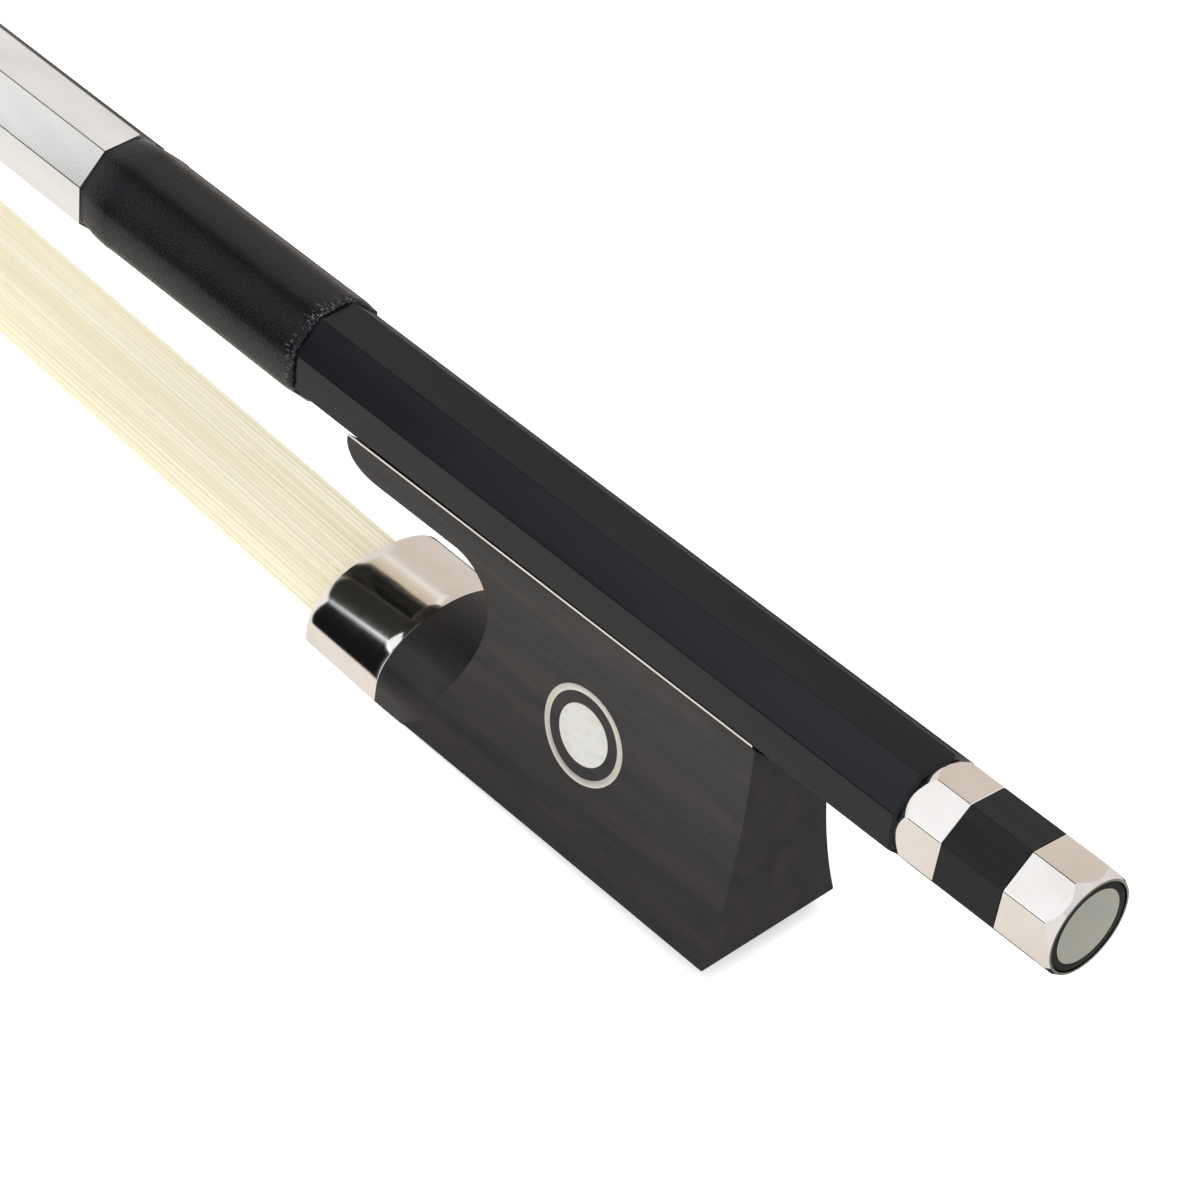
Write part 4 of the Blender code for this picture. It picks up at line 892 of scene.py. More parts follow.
@dataclass
class Stick(Assembly):
    """The stick with its head, in one piece of lacquered wood."""

    line: StickLine = field(default_factory=StickLine)
    end_chamfer: float = 0.25 * MM
    head_length: float = 25.5 * MM
    throat_radius: float = 11.0 * MM
    heel_width: float = 10.4 * MM
    beak_width: float = 4.2 * MM
    face_lift: float = 1.74 * MM
    ridge_start: float = 1.0 * MM
    ridge_shares: tuple[Span, ...] = ((0.37, 1.0), (0.55, 0.34))
    ridge_past: float = 1.4 * MM
    shaft_in_head: float = 3.0 * MM
    shaft_in_head_inset: float = 0.6 * MM
    handle_step: float = 7.0 * MM
    shaft_step: float = 12.0 * MM

    def build(self) -> None:
        """Builds the shaft, joins the head to it and trims the head's face."""
        outlines = [self.line.outline(0.0, -self.end_chamfer)]
        round_from = self.line.octagon_length + self.line.rounding_length
        places = steps(self.end_chamfer, round_from, self.handle_step)
        places += steps(round_from, self.line.heel, self.shaft_step)[1:]
        outlines += [self.line.outline(place) for place in places]
        outlines.append(self.line.outline(self.line.heel + self.shaft_in_head, -self.shaft_in_head_inset))
        shaft = loft("stick_shaft", outlines)
        head = loft("stick_head", [self.head_outline(height) for height in self.head_levels()])
        face = self.face_block()
        for block, operation in ((head, "UNION"), (face, "DIFFERENCE")):
            settle(block, HANDLE.inverted() @ Matrix.Translation((HEEL_X, 0.0, 0.0)))
            cut(shaft, block, operation=operation)
        shaft.name = "lacquered_stick"
        shade(shaft, FACET_ANGLE, weighted=True)
        self.dress(shaft, Slot.STICK, "stick")

    def head_levels(self) -> list[float]:
        """Heights of the head's outlines: even below, by angle up the throat and over the shaft.

        Returns:
            The heights, rising.
        """
        shaft = self.line.tip_diameter / 2
        centre = self.line.head_axis_height - shaft - self.throat_radius
        levels = [centre * i / 6 for i in range(6)]
        levels += [centre + self.throat_radius * math.sin(math.radians(a)) for a in range(0, 84, 6)]
        levels += [self.line.head_axis_height + shaft * math.sin(math.radians(a)) for a in range(-70, 84, 11)]
        return levels

    def ridge_front(self, height: float) -> float:
        """How far ahead of the heel the front ridge lies at a height.

        Args:
            height: Height above the floor.

        Returns:
            The distance from the heel.
        """
        top = self.line.head_axis_height + self.line.tip_diameter / 2
        ridge = [Vector((self.ridge_start, top))]
        ridge += [Vector((self.head_length * along, top * up)) for along, up in self.ridge_shares]
        ridge.append(Vector((self.head_length + self.ridge_past, 0.0)))
        low, high = 0.0, 1.0
        for _ in range(24):
            middle = (low + high) / 2
            if bezier(ridge, middle).y > height:
                low = middle
            else:
                high = middle
        return bezier(ridge, low).x

    def head_outline(self, height: float) -> Outline:
        """One level outline of the head, measured from its heel.

        Args:
            height: Its height above the floor.

        Returns:
            Nine points, from the rear round the front and back.
        """
        shaft = self.line.tip_diameter / 2
        axis = self.line.head_axis_height
        front = self.ridge_front(height)
        rise = min(1.0, height / axis)
        # Factors are shares of the shaft's or the head's own size, and powers bend the outline's curves
        side = lerp(self.heel_width / 2, shaft * 0.97, 1 - (1 - rise) ** 1.4)
        round_half = math.sqrt(max(0.0, shaft ** 2 - (height - axis) ** 2))
        under = axis - shaft
        reach = min(max(height - under + self.throat_radius, 0.0), self.throat_radius)
        rear = math.sqrt(self.throat_radius ** 2 - (reach * 0.99) ** 2) - self.throat_radius
        if height > under:
            rear = lerp(rear, 0.5 * MM, (height - under) / (2 * shaft))
            rear_side = 0.9 * round_half
        else:
            rear_side = lerp(side, 0.45 * shaft, (reach / self.throat_radius) ** 3)
        if height > axis:
            side = 0.97 * round_half
        length = self.head_length
        shoulder = max(rear + length * 0.05, front - lerp(length * 0.61, length * 0.14, rise ** 0.35))
        ridge_half = min(side * 0.7, lerp(self.beak_width / 2, 0.25 * shaft, math.sqrt(rise)))
        half = [(rear, rear_side), (lerp(rear, shoulder, 0.5), side), (shoulder, side),
                (front - length * 0.04, ridge_half)]
        outline = half + [(front, 0.0)] + [(x, -y) for x, y in reversed(half)]
        return [Vector((-x, y, height)) for x, y in outline]

    def face_block(self) -> Piece:
        """Everything below the head's wooden face, as a cutter.

        Returns:
            The cutter.
        """
        far, behind, below = self.head_length + 2.0 * MM, 20.0 * MM, 10.0 * MM
        places = [-behind, 0.0] + steps(*FACE_STEP, 0.5 * MM) + [far]
        line = [at(-x, face_height(x) + self.face_lift) for x in places]
        line += [at(-far, -below), at(behind, -below)]
        return loft("face_block", [[point + Vector((0.0, y, 0.0)) for point in line]
                                   for y in (-self.heel_width, self.heel_width)])


def face_height(distance: float) -> float:
    """Underside of the tip plate at a distance from the heel: level, a step down, level on the floor.

    Args:
        distance: Distance ahead of the heel.

    Returns:
        The height above the floor.
    """
    start, end = FACE_STEP
    run = clamp((distance - start) / (end - start))
    return FACE_RISE * (1 - run * run * (3 - 2 * run))


@dataclass
class Grip(Assembly):
    """The leather thumb grip and the silver winding ahead of it."""

    line: StickLine = field(default_factory=StickLine)
    start: float = 66.4 * MM
    length: float = 27.2 * MM
    thickness: float = 0.42 * MM
    nose: float = 4.2 * MM
    winding_length: float = 72.0 * MM
    winding_thickness: float = 0.3 * MM
    lift: float = 0.05 * MM
    edge: float = 0.5 * MM
    overlap: float = 0.3 * MM

    def build(self) -> None:
        """Builds both wraps."""
        self.leather()
        self.winding()

    def leather(self) -> None:
        """A thin wrap that follows the octagon softly, cut square behind and pared in front."""
        end = self.start + self.length
        full = self.thickness
        places = [(self.start + 0.30 * MM, self.lift), (self.start, self.lift), (self.start, 0.5 * full),
                  (self.start + 0.10 * MM, 0.85 * full), (self.start + 0.4 * MM, full)]
        places += [(place, full) for place in steps(self.start + 1.0 * MM, end - self.nose, 0.8 * MM)]
        places += [(end - self.nose * (1 - share), full * (1 - share ** 2.4) + self.lift)
                   for share in (0.15, 0.3, 0.45, 0.6, 0.75, 0.88, 0.96, 1.0)]
        places += [(end, 0.0), (end - self.nose, 0.0)]
        grip = sleeve("leather_grip_wrap", [self.line.outline(place, extra, rounding=0.3, edge=self.edge)
                                            for place, extra in places])
        unroll(grip, [place - self.start for place, extra in places], 32)
        self.fray(grip)
        shade(grip, 50.0)
        self.dress(grip, Slot.LEATHER, "leather_grip")

    def fray(self, grip: Piece) -> None:
        """Shakes the points of the cut rear edge a little, as a knife leaves it.

        Args:
            grip: The wrap, which still has its rings.
        """
        pick_up(grip)
        bpy.ops.object.mode_set(mode="EDIT")
        bpy.ops.mesh.select_all(action="DESELECT")
        mesh = bmesh.from_edit_mesh(grip.data)
        ring = mesh.verts.layers.int["ring"]
        for vert in mesh.verts:
            vert.select_set(2 <= vert[ring] <= 4)
        mesh.select_flush(True)
        bpy.ops.transform.vertex_random(offset=0.07 * MM, uniform=0.3, normal=0.7, seed=4)
        bpy.ops.object.mode_set(mode="OBJECT")

    def winding(self) -> None:
        """The wire's outside, as a thin octagonal sleeve, with a soldered edge at the front."""
        start = self.start + self.length - self.overlap
        end = self.start + self.length + self.overlap + self.winding_length
        full = self.winding_thickness
        places = [(start, 0.02 * MM), (start, full)]
        places += [(place, full) for place in steps(start + 3.0 * MM, end - 0.4 * MM, 6.0 * MM)]
        places += [(end - 0.15 * MM, full * 0.85), (end, full * 0.4), (end, 0.0)]
        winding = sleeve("silver_wire_winding", [self.line.outline(place, extra) for place, extra in places])
        unroll(winding, [place - start for place, extra in places], 32)
        shade(winding, FACET_ANGLE, weighted=True)
        self.dress(winding, Slot.WINDING, "wire_winding")


@dataclass
class Hair(Assembly):
    """The ribbon of horsehair, which follows the frog at one end and the head at the other."""

    body: Optional[Body] = None
    lie: Matrix = field(default_factory=Matrix)
    count: int = 72
    hair_radius: float = 0.11 * MM
    rise_at_frog: float = 1.15 * MM
    ferrule_width: float = 10.8 * MM
    heel_width: float = 5.6 * MM
    knot_width: float = 5.2 * MM
    bend_start: float = 2.2 * MM
    core_half: float = 0.26 * MM
    corners: int = 12
    bend_radius: float = 1.1 * MM
    knot_length: float = 3.4 * MM
    in_ferrule: float = 1.5 * MM
    narrowing: float = 3.0 * MM
    squareness: float = 0.35
    wander: float = 0.35
    unevenness: float = 0.04 * MM
    ferrule_front: float = 0.0

    def build(self) -> None:
        """Builds the ribbon's core and its strands, and joins them."""
        low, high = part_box("ferrule")
        self.ferrule_front = low.x
        # Sparse points where it runs straight, then a bend up into the head's mortise
        places = [high.x - self.in_ferrule] + steps(low.x, HEEL_X + 12.0 * MM, 16.0 * MM)
        line = [at(x, self.rise_at_frog) for x in places + [HEEL_X + 2.0 * MM, HEEL_X]]
        bend, radius = HEEL_X - self.bend_start, self.bend_radius
        line += [at(bend - radius * math.sin(a), self.rise_at_frog + radius * (1 - math.cos(a)))
                 for a in (0.0, 0.4, 0.8, 1.2, math.pi / 2)]
        line.append(line[-1] + at(0.0, self.knot_length))
        core = loft("horsehair_ribbon", self.core_outlines(line))
        strands = self.strands(line)
        runs = [(point - line[0]).length for point in line]
        unroll(core, runs, self.corners)
        unroll(strands, runs, 4)
        self.number_strands(strands)
        pick_up(core)
        strands.select_set(True)
        bpy.ops.object.join()
        shade(core, 60.0)
        self.dress(core, Slot.HAIR, "hair")
        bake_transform(core)

    def width(self, x: float) -> float:
        """The ribbon's width at a place along the bow.

        Args:
            x: The place.

        Returns:
            The width.
        """
        if x >= HEEL_X:
            share = (x - HEEL_X) / (self.ferrule_front - HEEL_X)
            return lerp(self.heel_width, self.ferrule_width, clamp(share))
        return lerp(self.heel_width, self.knot_width, clamp((HEEL_X - x) / self.narrowing))

    def across(self, line: Sequence[Vector], number: int) -> Vector:
        """The ribbon's thickness direction at one point of its line.

        Args:
            line: The ribbon's line.
            number: Which of its points.

        Returns:
            A unit vector.
        """
        before = line[max(0, number - 1)]
        after = line[min(len(line) - 1, number + 1)]
        along = (after - before).normalized()
        return Vector((along.z, 0.0, -along.x))

    def core_outlines(self, line: Sequence[Vector]) -> list[Outline]:
        """Flat outlines of the ribbon's core, a little narrower than its strands.

        Args:
            line: The ribbon's line.

        Returns:
            One outline to each of the line's points.
        """
        made = []
        for number, point in enumerate(line):
            half = self.width(point.x) / 2 - self.hair_radius
            normal = self.across(line, number)
            rim = []
            for corner in range(self.corners):
                turn = 2 * math.pi * corner / self.corners
                flat, thick = (math.copysign(abs(part) ** self.squareness, part)
                               for part in (math.cos(turn), math.sin(turn)))
                rim.append(point + Vector((0.0, half * flat, 0.0)) + normal * self.core_half * thick)
            made.append(rim)
        return made

    def strands(self, line: Sequence[Vector]) -> Piece:
        """One hair, repeated across both faces of the ribbon and fanned out to its width.

        Args:
            line: The ribbon's line.

        Returns:
            All the strands as one object.
        """
        radius = self.hair_radius
        outlines = []
        for number, point in enumerate(line):
            normal = self.across(line, number)
            outlines.append([point + normal * radius * math.sin(a) + Vector((0.0, radius * math.cos(a), 0.0))
                             for a in (0.0, math.pi / 2, math.pi, 3 * math.pi / 2)])
        strands = loft("horsehair_strands", outlines)
        shape_with(strands, "ARRAY", count=2 * self.count, use_relative_offset=False,
                   use_constant_offset=True, constant_offset_displace=(0.0, 1.0, 0.0))
        ring = strands.data.attributes["ring"].data
        for vert, held in zip(strands.data.vertices, ring):
            number = round(vert.co.y)
            place = number % self.count
            side = 1.0 if number < self.count else -1.0
            share = (place + 0.5) / self.count - 0.5
            wander = self.wander * math.sin(2.1 * place + 0.35 * held.value) / self.count
            lift = side * (self.core_half + self.unevenness * math.sin(12.9 * place + 4.1 * side))
            own = vert.co.y - number
            vert.co.y = own + (share + wander) * (self.width(vert.co.x) - 2 * radius)
            vert.co += self.across(line, held.value) * lift
        return strands

    def number_strands(self, strands: Piece) -> None:
        """Spreads the strands' UV map across v, so that each hair gets its own shade.

        Args:
            strands: The strands, in the order in which they were repeated.
        """
        layer = strands.data.uv_layers["run"]
        for face in strands.data.polygons:
            share = face.index * 2 * self.count // len(strands.data.polygons)
            for loop_index in face.loop_indices:
                layer.data[loop_index].uv.y = share * 0.37 * MM


@dataclass
class HeadFittings(Assembly):
    """The tip plate on the head's face."""

    lie: Matrix = field(default_factory=lambda: Matrix.Translation((HEEL_X, 0.0, 0.0)))
    length: float = 25.5 * MM
    heel_width: float = 10.4 * MM
    beak_width: float = 4.2 * MM
    thickness: float = 0.9 * MM
    mortise_start: float = 3.0 * MM
    mortise_length: float = 6.0 * MM
    mortise_half: float = 3.0 * MM
    taper_from: float = 0.35
    beak_from: float = 0.955

    def half_width(self, distance: float) -> float:
        """Half the plate's width at a distance from the heel.

        Args:
            distance: Distance ahead of the heel.

        Returns:
            Half the width.
        """
        taper, beak = self.length * self.taper_from, self.length * self.beak_from
        if distance <= taper:
            return self.heel_width / 2
        if distance <= beak:
            return lerp(self.heel_width, self.beak_width, (distance - taper) / (beak - taper)) / 2
        return lerp(self.beak_width / 2, self.beak_width / 4, (distance - beak) / (self.length - beak))

    def build(self) -> None:
        """Builds the plate with its mortise and eased edges."""
        places = [0.0, 3.0 * MM, 8.9 * MM] + steps(*FACE_STEP, 0.5 * MM)
        places += [self.length * self.beak_from, self.length]
        outlines = []
        for place in places:
            low = face_height(place)
            line = box_line(self.half_width(place), low, low + self.thickness)
            outlines.append([Vector((-place, y, z)) for y, z in line])
        plate = loft("bone_tip_plate", outlines)
        past = 5.0 * MM
        front = -self.mortise_start - self.mortise_length
        mortise = box_line(self.mortise_half, -past, past)
        cut(plate, straight("mortise_block", mortise, (front, -self.mortise_start)))
        ease_edges(plate, 0.12 * MM, 60.0)
        shade(plate, 20.0)
        self.dress(plate, Slot.BONE, "tip_plate")


@dataclass
class Frog(Assembly):
    """The frog: its body, lining, ferrule, slide and eyes."""

    body: Body = Body.FROG
    back: float = 13.9 * MM
    length: float = 46.1 * MM
    top_width: float = 8.6 * MM
    bottom_width: float = 14.4 * MM
    back_depth: float = 23.6 * MM
    ferrule_depth: float = 23.05 * MM
    ferrule_rear: float = 52.0 * MM
    ferrule_length: float = 8.6 * MM
    cheek_power: float = 2.4
    bed_offset: float = 0.19 * MM
    lining_lift: float = 0.02 * MM
    lining_thickness: float = 0.15 * MM
    nose: float = 4.0 * MM
    shoulder: float = 0.03 * MM
    handle_half: float = 4.25 * MM
    eye_from_end: float = 30.85 * MM
    eye_depth: float = 12.6 * MM
    cheek_steps: int = 28
    edge: float = 0.12 * MM
    projection_flat: float = 2.2 * MM
    projection_side: Span = (4.7 * MM, 1.9 * MM)
    projection_middle: Span = (6.6 * MM, 4.6 * MM)
    throat_start: float = 47.0 * MM
    throat_rear: float = 42.6 * MM
    throat_depth: float = 9.2 * MM
    throat_foot: float = 49.0 * MM
    side_height: float = 1.7 * MM
    ferrule_height: float = 7.0 * MM
    ferrule_drop: float = 0.8 * MM
    ferrule_wall: float = 0.45 * MM
    ferrule_rim: float = 0.06 * MM
    groove: Triple = (10.24 * MM, 1.64 * MM, 34.1 * MM)
    slide: Triple = (10.0 * MM, 0.9 * MM, 33.5 * MM)
    slide_front: float = 0.3 * MM
    lining_gaps: Span = (0.1 * MM, 0.3 * MM)
    tongue_inset: float = 0.57 * MM
    tongue_low: float = 3.4 * MM
    tongue_tip: float = 8.3 * MM
    tongue_foot: float = 3.3 * MM
    tongue_root: float = 9.0 * MM
    eye_sides: int = 96
    ring_profile: tuple[Span, ...] = ((3.70, -0.10), (3.72, 0.02), (3.78, 0.035), (4.22, 0.035),
                                      (4.28, 0.02), (4.30, -0.10))
    pearl_profile: tuple[Span, ...] = ((2.67, -0.10), (2.66, 0.015), (2.58, 0.035), (2.0, 0.04),
                                       (1.2, 0.042), (0.4, 0.042))

    @property
    def front(self) -> float:
        """Distance of the frog's front from the rear end of the stick."""
        return self.back + self.length

    @property
    def ferrule_lie(self) -> Matrix:
        """The ferrule's frame, level with the hair, within the handle's."""
        return (Matrix.Translation((-self.ferrule_rear, 0.0, -self.ferrule_depth))
                @ Matrix.Rotation(TILT, 4, "Y"))

    @property
    def slide_tilt(self) -> float:
        """Rise of the frog's bottom towards its back, against the hair."""
        return TILT - math.atan((self.back_depth - self.ferrule_depth) / (self.ferrule_rear - self.back))

    @property
    def slide_lie(self) -> Matrix:
        """The slide's frame, along the frog's bottom, within the handle's."""
        return self.ferrule_lie @ Matrix.Rotation(-self.slide_tilt, 4, "Y")

    def bed(self, offset: float, half_width: float) -> list[Span]:
        """The three-sided bed for the stick, as (y, z) from left to right.

        Args:
            offset: How far outside the handle's facets it lies.
            half_width: Half its width.

        Returns:
            Its four points.
        """
        depth = self.handle_half + offset
        slant = self.handle_half * (1 + FLAT_RATIO) + math.sqrt(2) * offset
        corner = slant - depth
        return [(-half_width, half_width - slant), (-corner, -depth), (corner, -depth),
                (half_width, half_width - slant)]

    def bottom(self, distance: float) -> float:
        """Depth of the frog's bottom below the axis."""
        share = (distance - self.back) / (self.ferrule_rear - self.back)
        return lerp(self.back_depth, self.ferrule_depth, share)

    def cheek(self, depth: float, distance: float) -> float:
        """Half the frog's width at a depth below the axis: hollow, and flaring out late.

        Args:
            depth: Depth below the stick's axis.
            distance: Distance from the rear end of the stick.

        Returns:
            Half the width.
        """
        top = -self.bed(self.bed_offset, self.top_width / 2)[0][1]
        part = clamp((depth - top) / (self.bottom(distance) - top))
        return lerp(self.top_width, self.bottom_width, part ** self.cheek_power) / 2

    def section(self, distance: float) -> Outline:
        """The frog's full outline across the bow, at a distance from the rear end of the stick.

        Args:
            distance: Distance from the rear end of the stick.

        Returns:
            The outline in the handle's frame.
        """
        bed = self.bed(self.bed_offset, self.top_width / 2)
        right = []
        for step in range(1, self.cheek_steps + 1):
            depth = lerp(-bed[0][1], self.bottom(distance), (step / self.cheek_steps) ** 0.8)
            right.append((self.cheek(depth, distance), -depth))
        left = [(-y, z) for y, z in reversed(right)]
        return [Vector((-distance, y, z)) for y, z in bed + right + left]

    def build(self) -> None:
        """Builds the frog's pieces."""
        self.build_body()
        self.build_lining()
        self.build_ferrule()
        self.build_slide()
        for side in (-1, 1):
            self.build_eye(side)

    def throat_line(self, underside: float, brow: float) -> Outline:
        """The finger cut-out from the side.

        Args:
            underside: Depth of the projection's underside below the axis.
            brow: Depth at which the projection's front begins to curve back.

        Returns:
            The cut-out's outline in the handle's frame, at y = 0.
        """
        front, past = -self.front, 2.0 * MM
        start, rear, depth, foot = self.throat_start, self.throat_rear, self.throat_depth, self.throat_foot
        rise, run = depth - underside, start - rear
        nose = [at(front, -brow), at(front, -underside), at(front + self.nose, -underside)]
        low = [at(-rear, -depth), at(-rear, -lerp(depth, self.back_depth, 0.37)), at(-foot, -self.back_depth)]
        line = [at(front - past, -brow)]
        line += [bezier(nose, i / 12) for i in range(13)]
        line += [at(-start + run * math.sin(a), -depth + rise * math.cos(a))
                 for a in steps(0.0, math.pi / 2, math.pi / 48)]
        line += [bezier(low, i / 20) for i in range(1, 21)]
        line += [at(-foot, -self.back_depth - past), at(front - past, -self.back_depth - past)]
        return line

    def build_body(self) -> None:
        """The ebony body: a lofted blank, its throat cut, its tongue added, its groove and edges cut."""
        body = loft("ebony_frog", [self.section(place) for place in steps(self.front, self.back, 12.0 * MM)])
        ease_edges(body, self.edge, 38.0)
        side, flat, outside = self.top_width / 2, self.projection_flat, self.bottom_width
        places = (-outside, -side, -flat, flat, side, outside)
        layers = [(y, self.projection_side if abs(y) > flat else self.projection_middle) for y in places]
        throat = loft("throat_block", [[point + Vector((0.0, y, 0.0)) for point in self.throat_line(*depths)]
                                       for y, depths in layers])
        cut(body, throat)
        tongue = self.tongue()
        settle(tongue, self.ferrule_lie)
        cut(body, tongue, operation="UNION")
        width, height, length = self.groove
        past = 2.0 * MM
        groove = straight("groove_block", box_line(width / 2, -past, height), (-past, length))
        settle(groove, self.slide_lie)
        cut(body, groove)
        shade(body, 35.0, weighted=True)
        self.dress(body, Slot.EBONY, "frog_body")

    def d_line(self, x: float, half: float, bottom: float, side_top: float, height: float) -> Outline:
        """A D lying on its flat: straight sides, then half an ellipse, cut off level at the bottom.

        Args:
            x: Where it stands along the bow.
            half: Half its width.
            bottom: Height of its flat.
            side_top: Height at which its sides begin to curve.
            height: Height of its top.

        Returns:
            The outline in the ferrule's frame.
        """
        rise = height - side_top
        start = math.asin(max(0.0, (bottom - side_top) / rise))
        foot = half if bottom < side_top else half * math.cos(start) * 0.9
        line = [(foot, bottom)]
        line += [(half * math.cos(a), side_top + rise * math.sin(a))
                 for a in steps(start, math.pi - start, (math.pi - 2 * start) / 47.5)]
        line.append((-foot, bottom))
        return [Vector((x, y, z)) for y, z in line]

    def band_height(self, x: float) -> float:
        """Outer height of the ferrule, by distance ahead (negative) of its rear edge."""
        return self.ferrule_height + self.ferrule_drop * x / self.ferrule_length

    def tongue(self) -> Piece:
        """The tongue: thin inside the ferrule, flush with it behind, then running into the body.

        Returns:
            The tongue in the ferrule's frame.
        """
        half, inset, foot = self.bottom_width / 2, self.tongue_inset, self.tongue_foot
        side, height = self.side_height, self.ferrule_height
        lines = [self.d_line(x, half - inset, self.tongue_low, side, self.band_height(x) - inset)
                 for x in (-self.tongue_tip, self.shoulder)]
        lines.append(self.d_line(self.shoulder, half, 0.0, side, self.band_height(self.shoulder)))
        lift = foot * math.tan(self.slide_tilt)
        lines.append(self.d_line(foot, half, lift, side + lift, height + lift))
        # Buried in the body, so it only has to be smaller than the body is
        lines.append(self.d_line(self.tongue_root, half * 0.78, 1.0 * MM, side * 1.3, height * 0.85))
        return loft("tongue_blank", lines)

    def build_lining(self) -> None:
        """The thin metal lining of the bed, stopping just short of the frog's ends."""
        half = self.top_width / 2
        inner = self.bed(self.lining_lift, half)
        outer = self.bed(self.lining_lift + self.lining_thickness, half)
        places = steps(-self.front + self.lining_gaps[0], -self.back - self.lining_gaps[1], 12.0 * MM)
        lining = straight("underslide_lining", inner + outer[::-1], places)
        shade(lining, 20.0)
        self.dress(lining, Slot.NICKEL, "underslide")

    def build_ferrule(self) -> None:
        """The D-shaped band, with rounded rims."""
        half, length = self.bottom_width / 2, self.ferrule_length
        wall, rim = self.ferrule_wall, self.ferrule_rim
        places = [(-length, rim), (-length + rim * 0.3, rim * 0.3), (-length + rim, 0.0)]
        places += [(x, 0.0) for x in steps(-length + 1.0 * MM, -1.0 * MM, 1.5 * MM)]
        places += [(-rim, 0.0), (-rim * 0.3, rim * 0.3), (0.0, rim), (0.0, wall), (-length, wall)]
        ferrule = sleeve("nickel_silver_ferrule", [
            self.d_line(x, half - inset, inset, self.side_height, self.band_height(x) - inset)
            for x, inset in places])
        shade(ferrule, 40.0)
        settle(ferrule, self.ferrule_lie)
        self.dress(ferrule, Slot.NICKEL, "ferrule")

    def build_slide(self) -> None:
        """The pearl slide in the frog's underside."""
        deselect()
        width, thickness, length = self.slide
        middle = at(self.slide_front + length / 2, thickness / 2)
        bpy.ops.mesh.primitive_cube_add(size=1.0, location=middle, scale=(length, width, thickness))
        bpy.ops.object.transform_apply(location=True, rotation=True, scale=True)
        slide = named("mother_of_pearl_slide")
        ease_edges(slide, 0.15 * MM, 30.0)
        shade(slide, 20.0)
        settle(slide, self.slide_lie)
        self.dress(slide, Slot.PEARL, "pearl_slide")

    def build_eye(self, side: int) -> None:
        """A metal ring and a pearl disc let into one cheek, following its hollow.

        Args:
            side: -1 for the near cheek, 1 for the far one.
        """
        word = "near" if side < 0 else "far"
        ring = self.inlay("silver_eye_ring_" + word, side, self.ring_profile, hole=True)
        self.dress(ring, Slot.NICKEL, "eye_ring_" + word, finish=self.paint.eye_ring)
        pearl = self.inlay("pearl_eye_" + word, side, self.pearl_profile, hole=False)
        self.dress(pearl, Slot.PEARL, "eye_pearl_" + word)

    def inlay(self, name: str, side: int, profile: Sequence[Span], hole: bool) -> Piece:
        """A flat round inlay whose face follows the cheek.

        Args:
            name: The piece's name.
            side: The cheek it lies in.
            profile: Pairs of radius and height above the cheek, in millimetres.
            hole: Whether its middle is open.

        Returns:
            The new piece.
        """
        lines = []
        for radius, height in profile:
            line = []
            for i in range(self.eye_sides):
                turn = 2 * math.pi * i / self.eye_sides
                depth = self.eye_depth - radius * MM * math.sin(turn)
                distance = self.eye_from_end - radius * MM * math.cos(turn)
                line.append(Vector((-distance, side * (self.cheek(depth, distance) + height * MM), -depth)))
            lines.append(line)
        made = sleeve(name, lines) if hole else loft(name, lines)
        shade(made, 30.0, weighted=True)
        return made


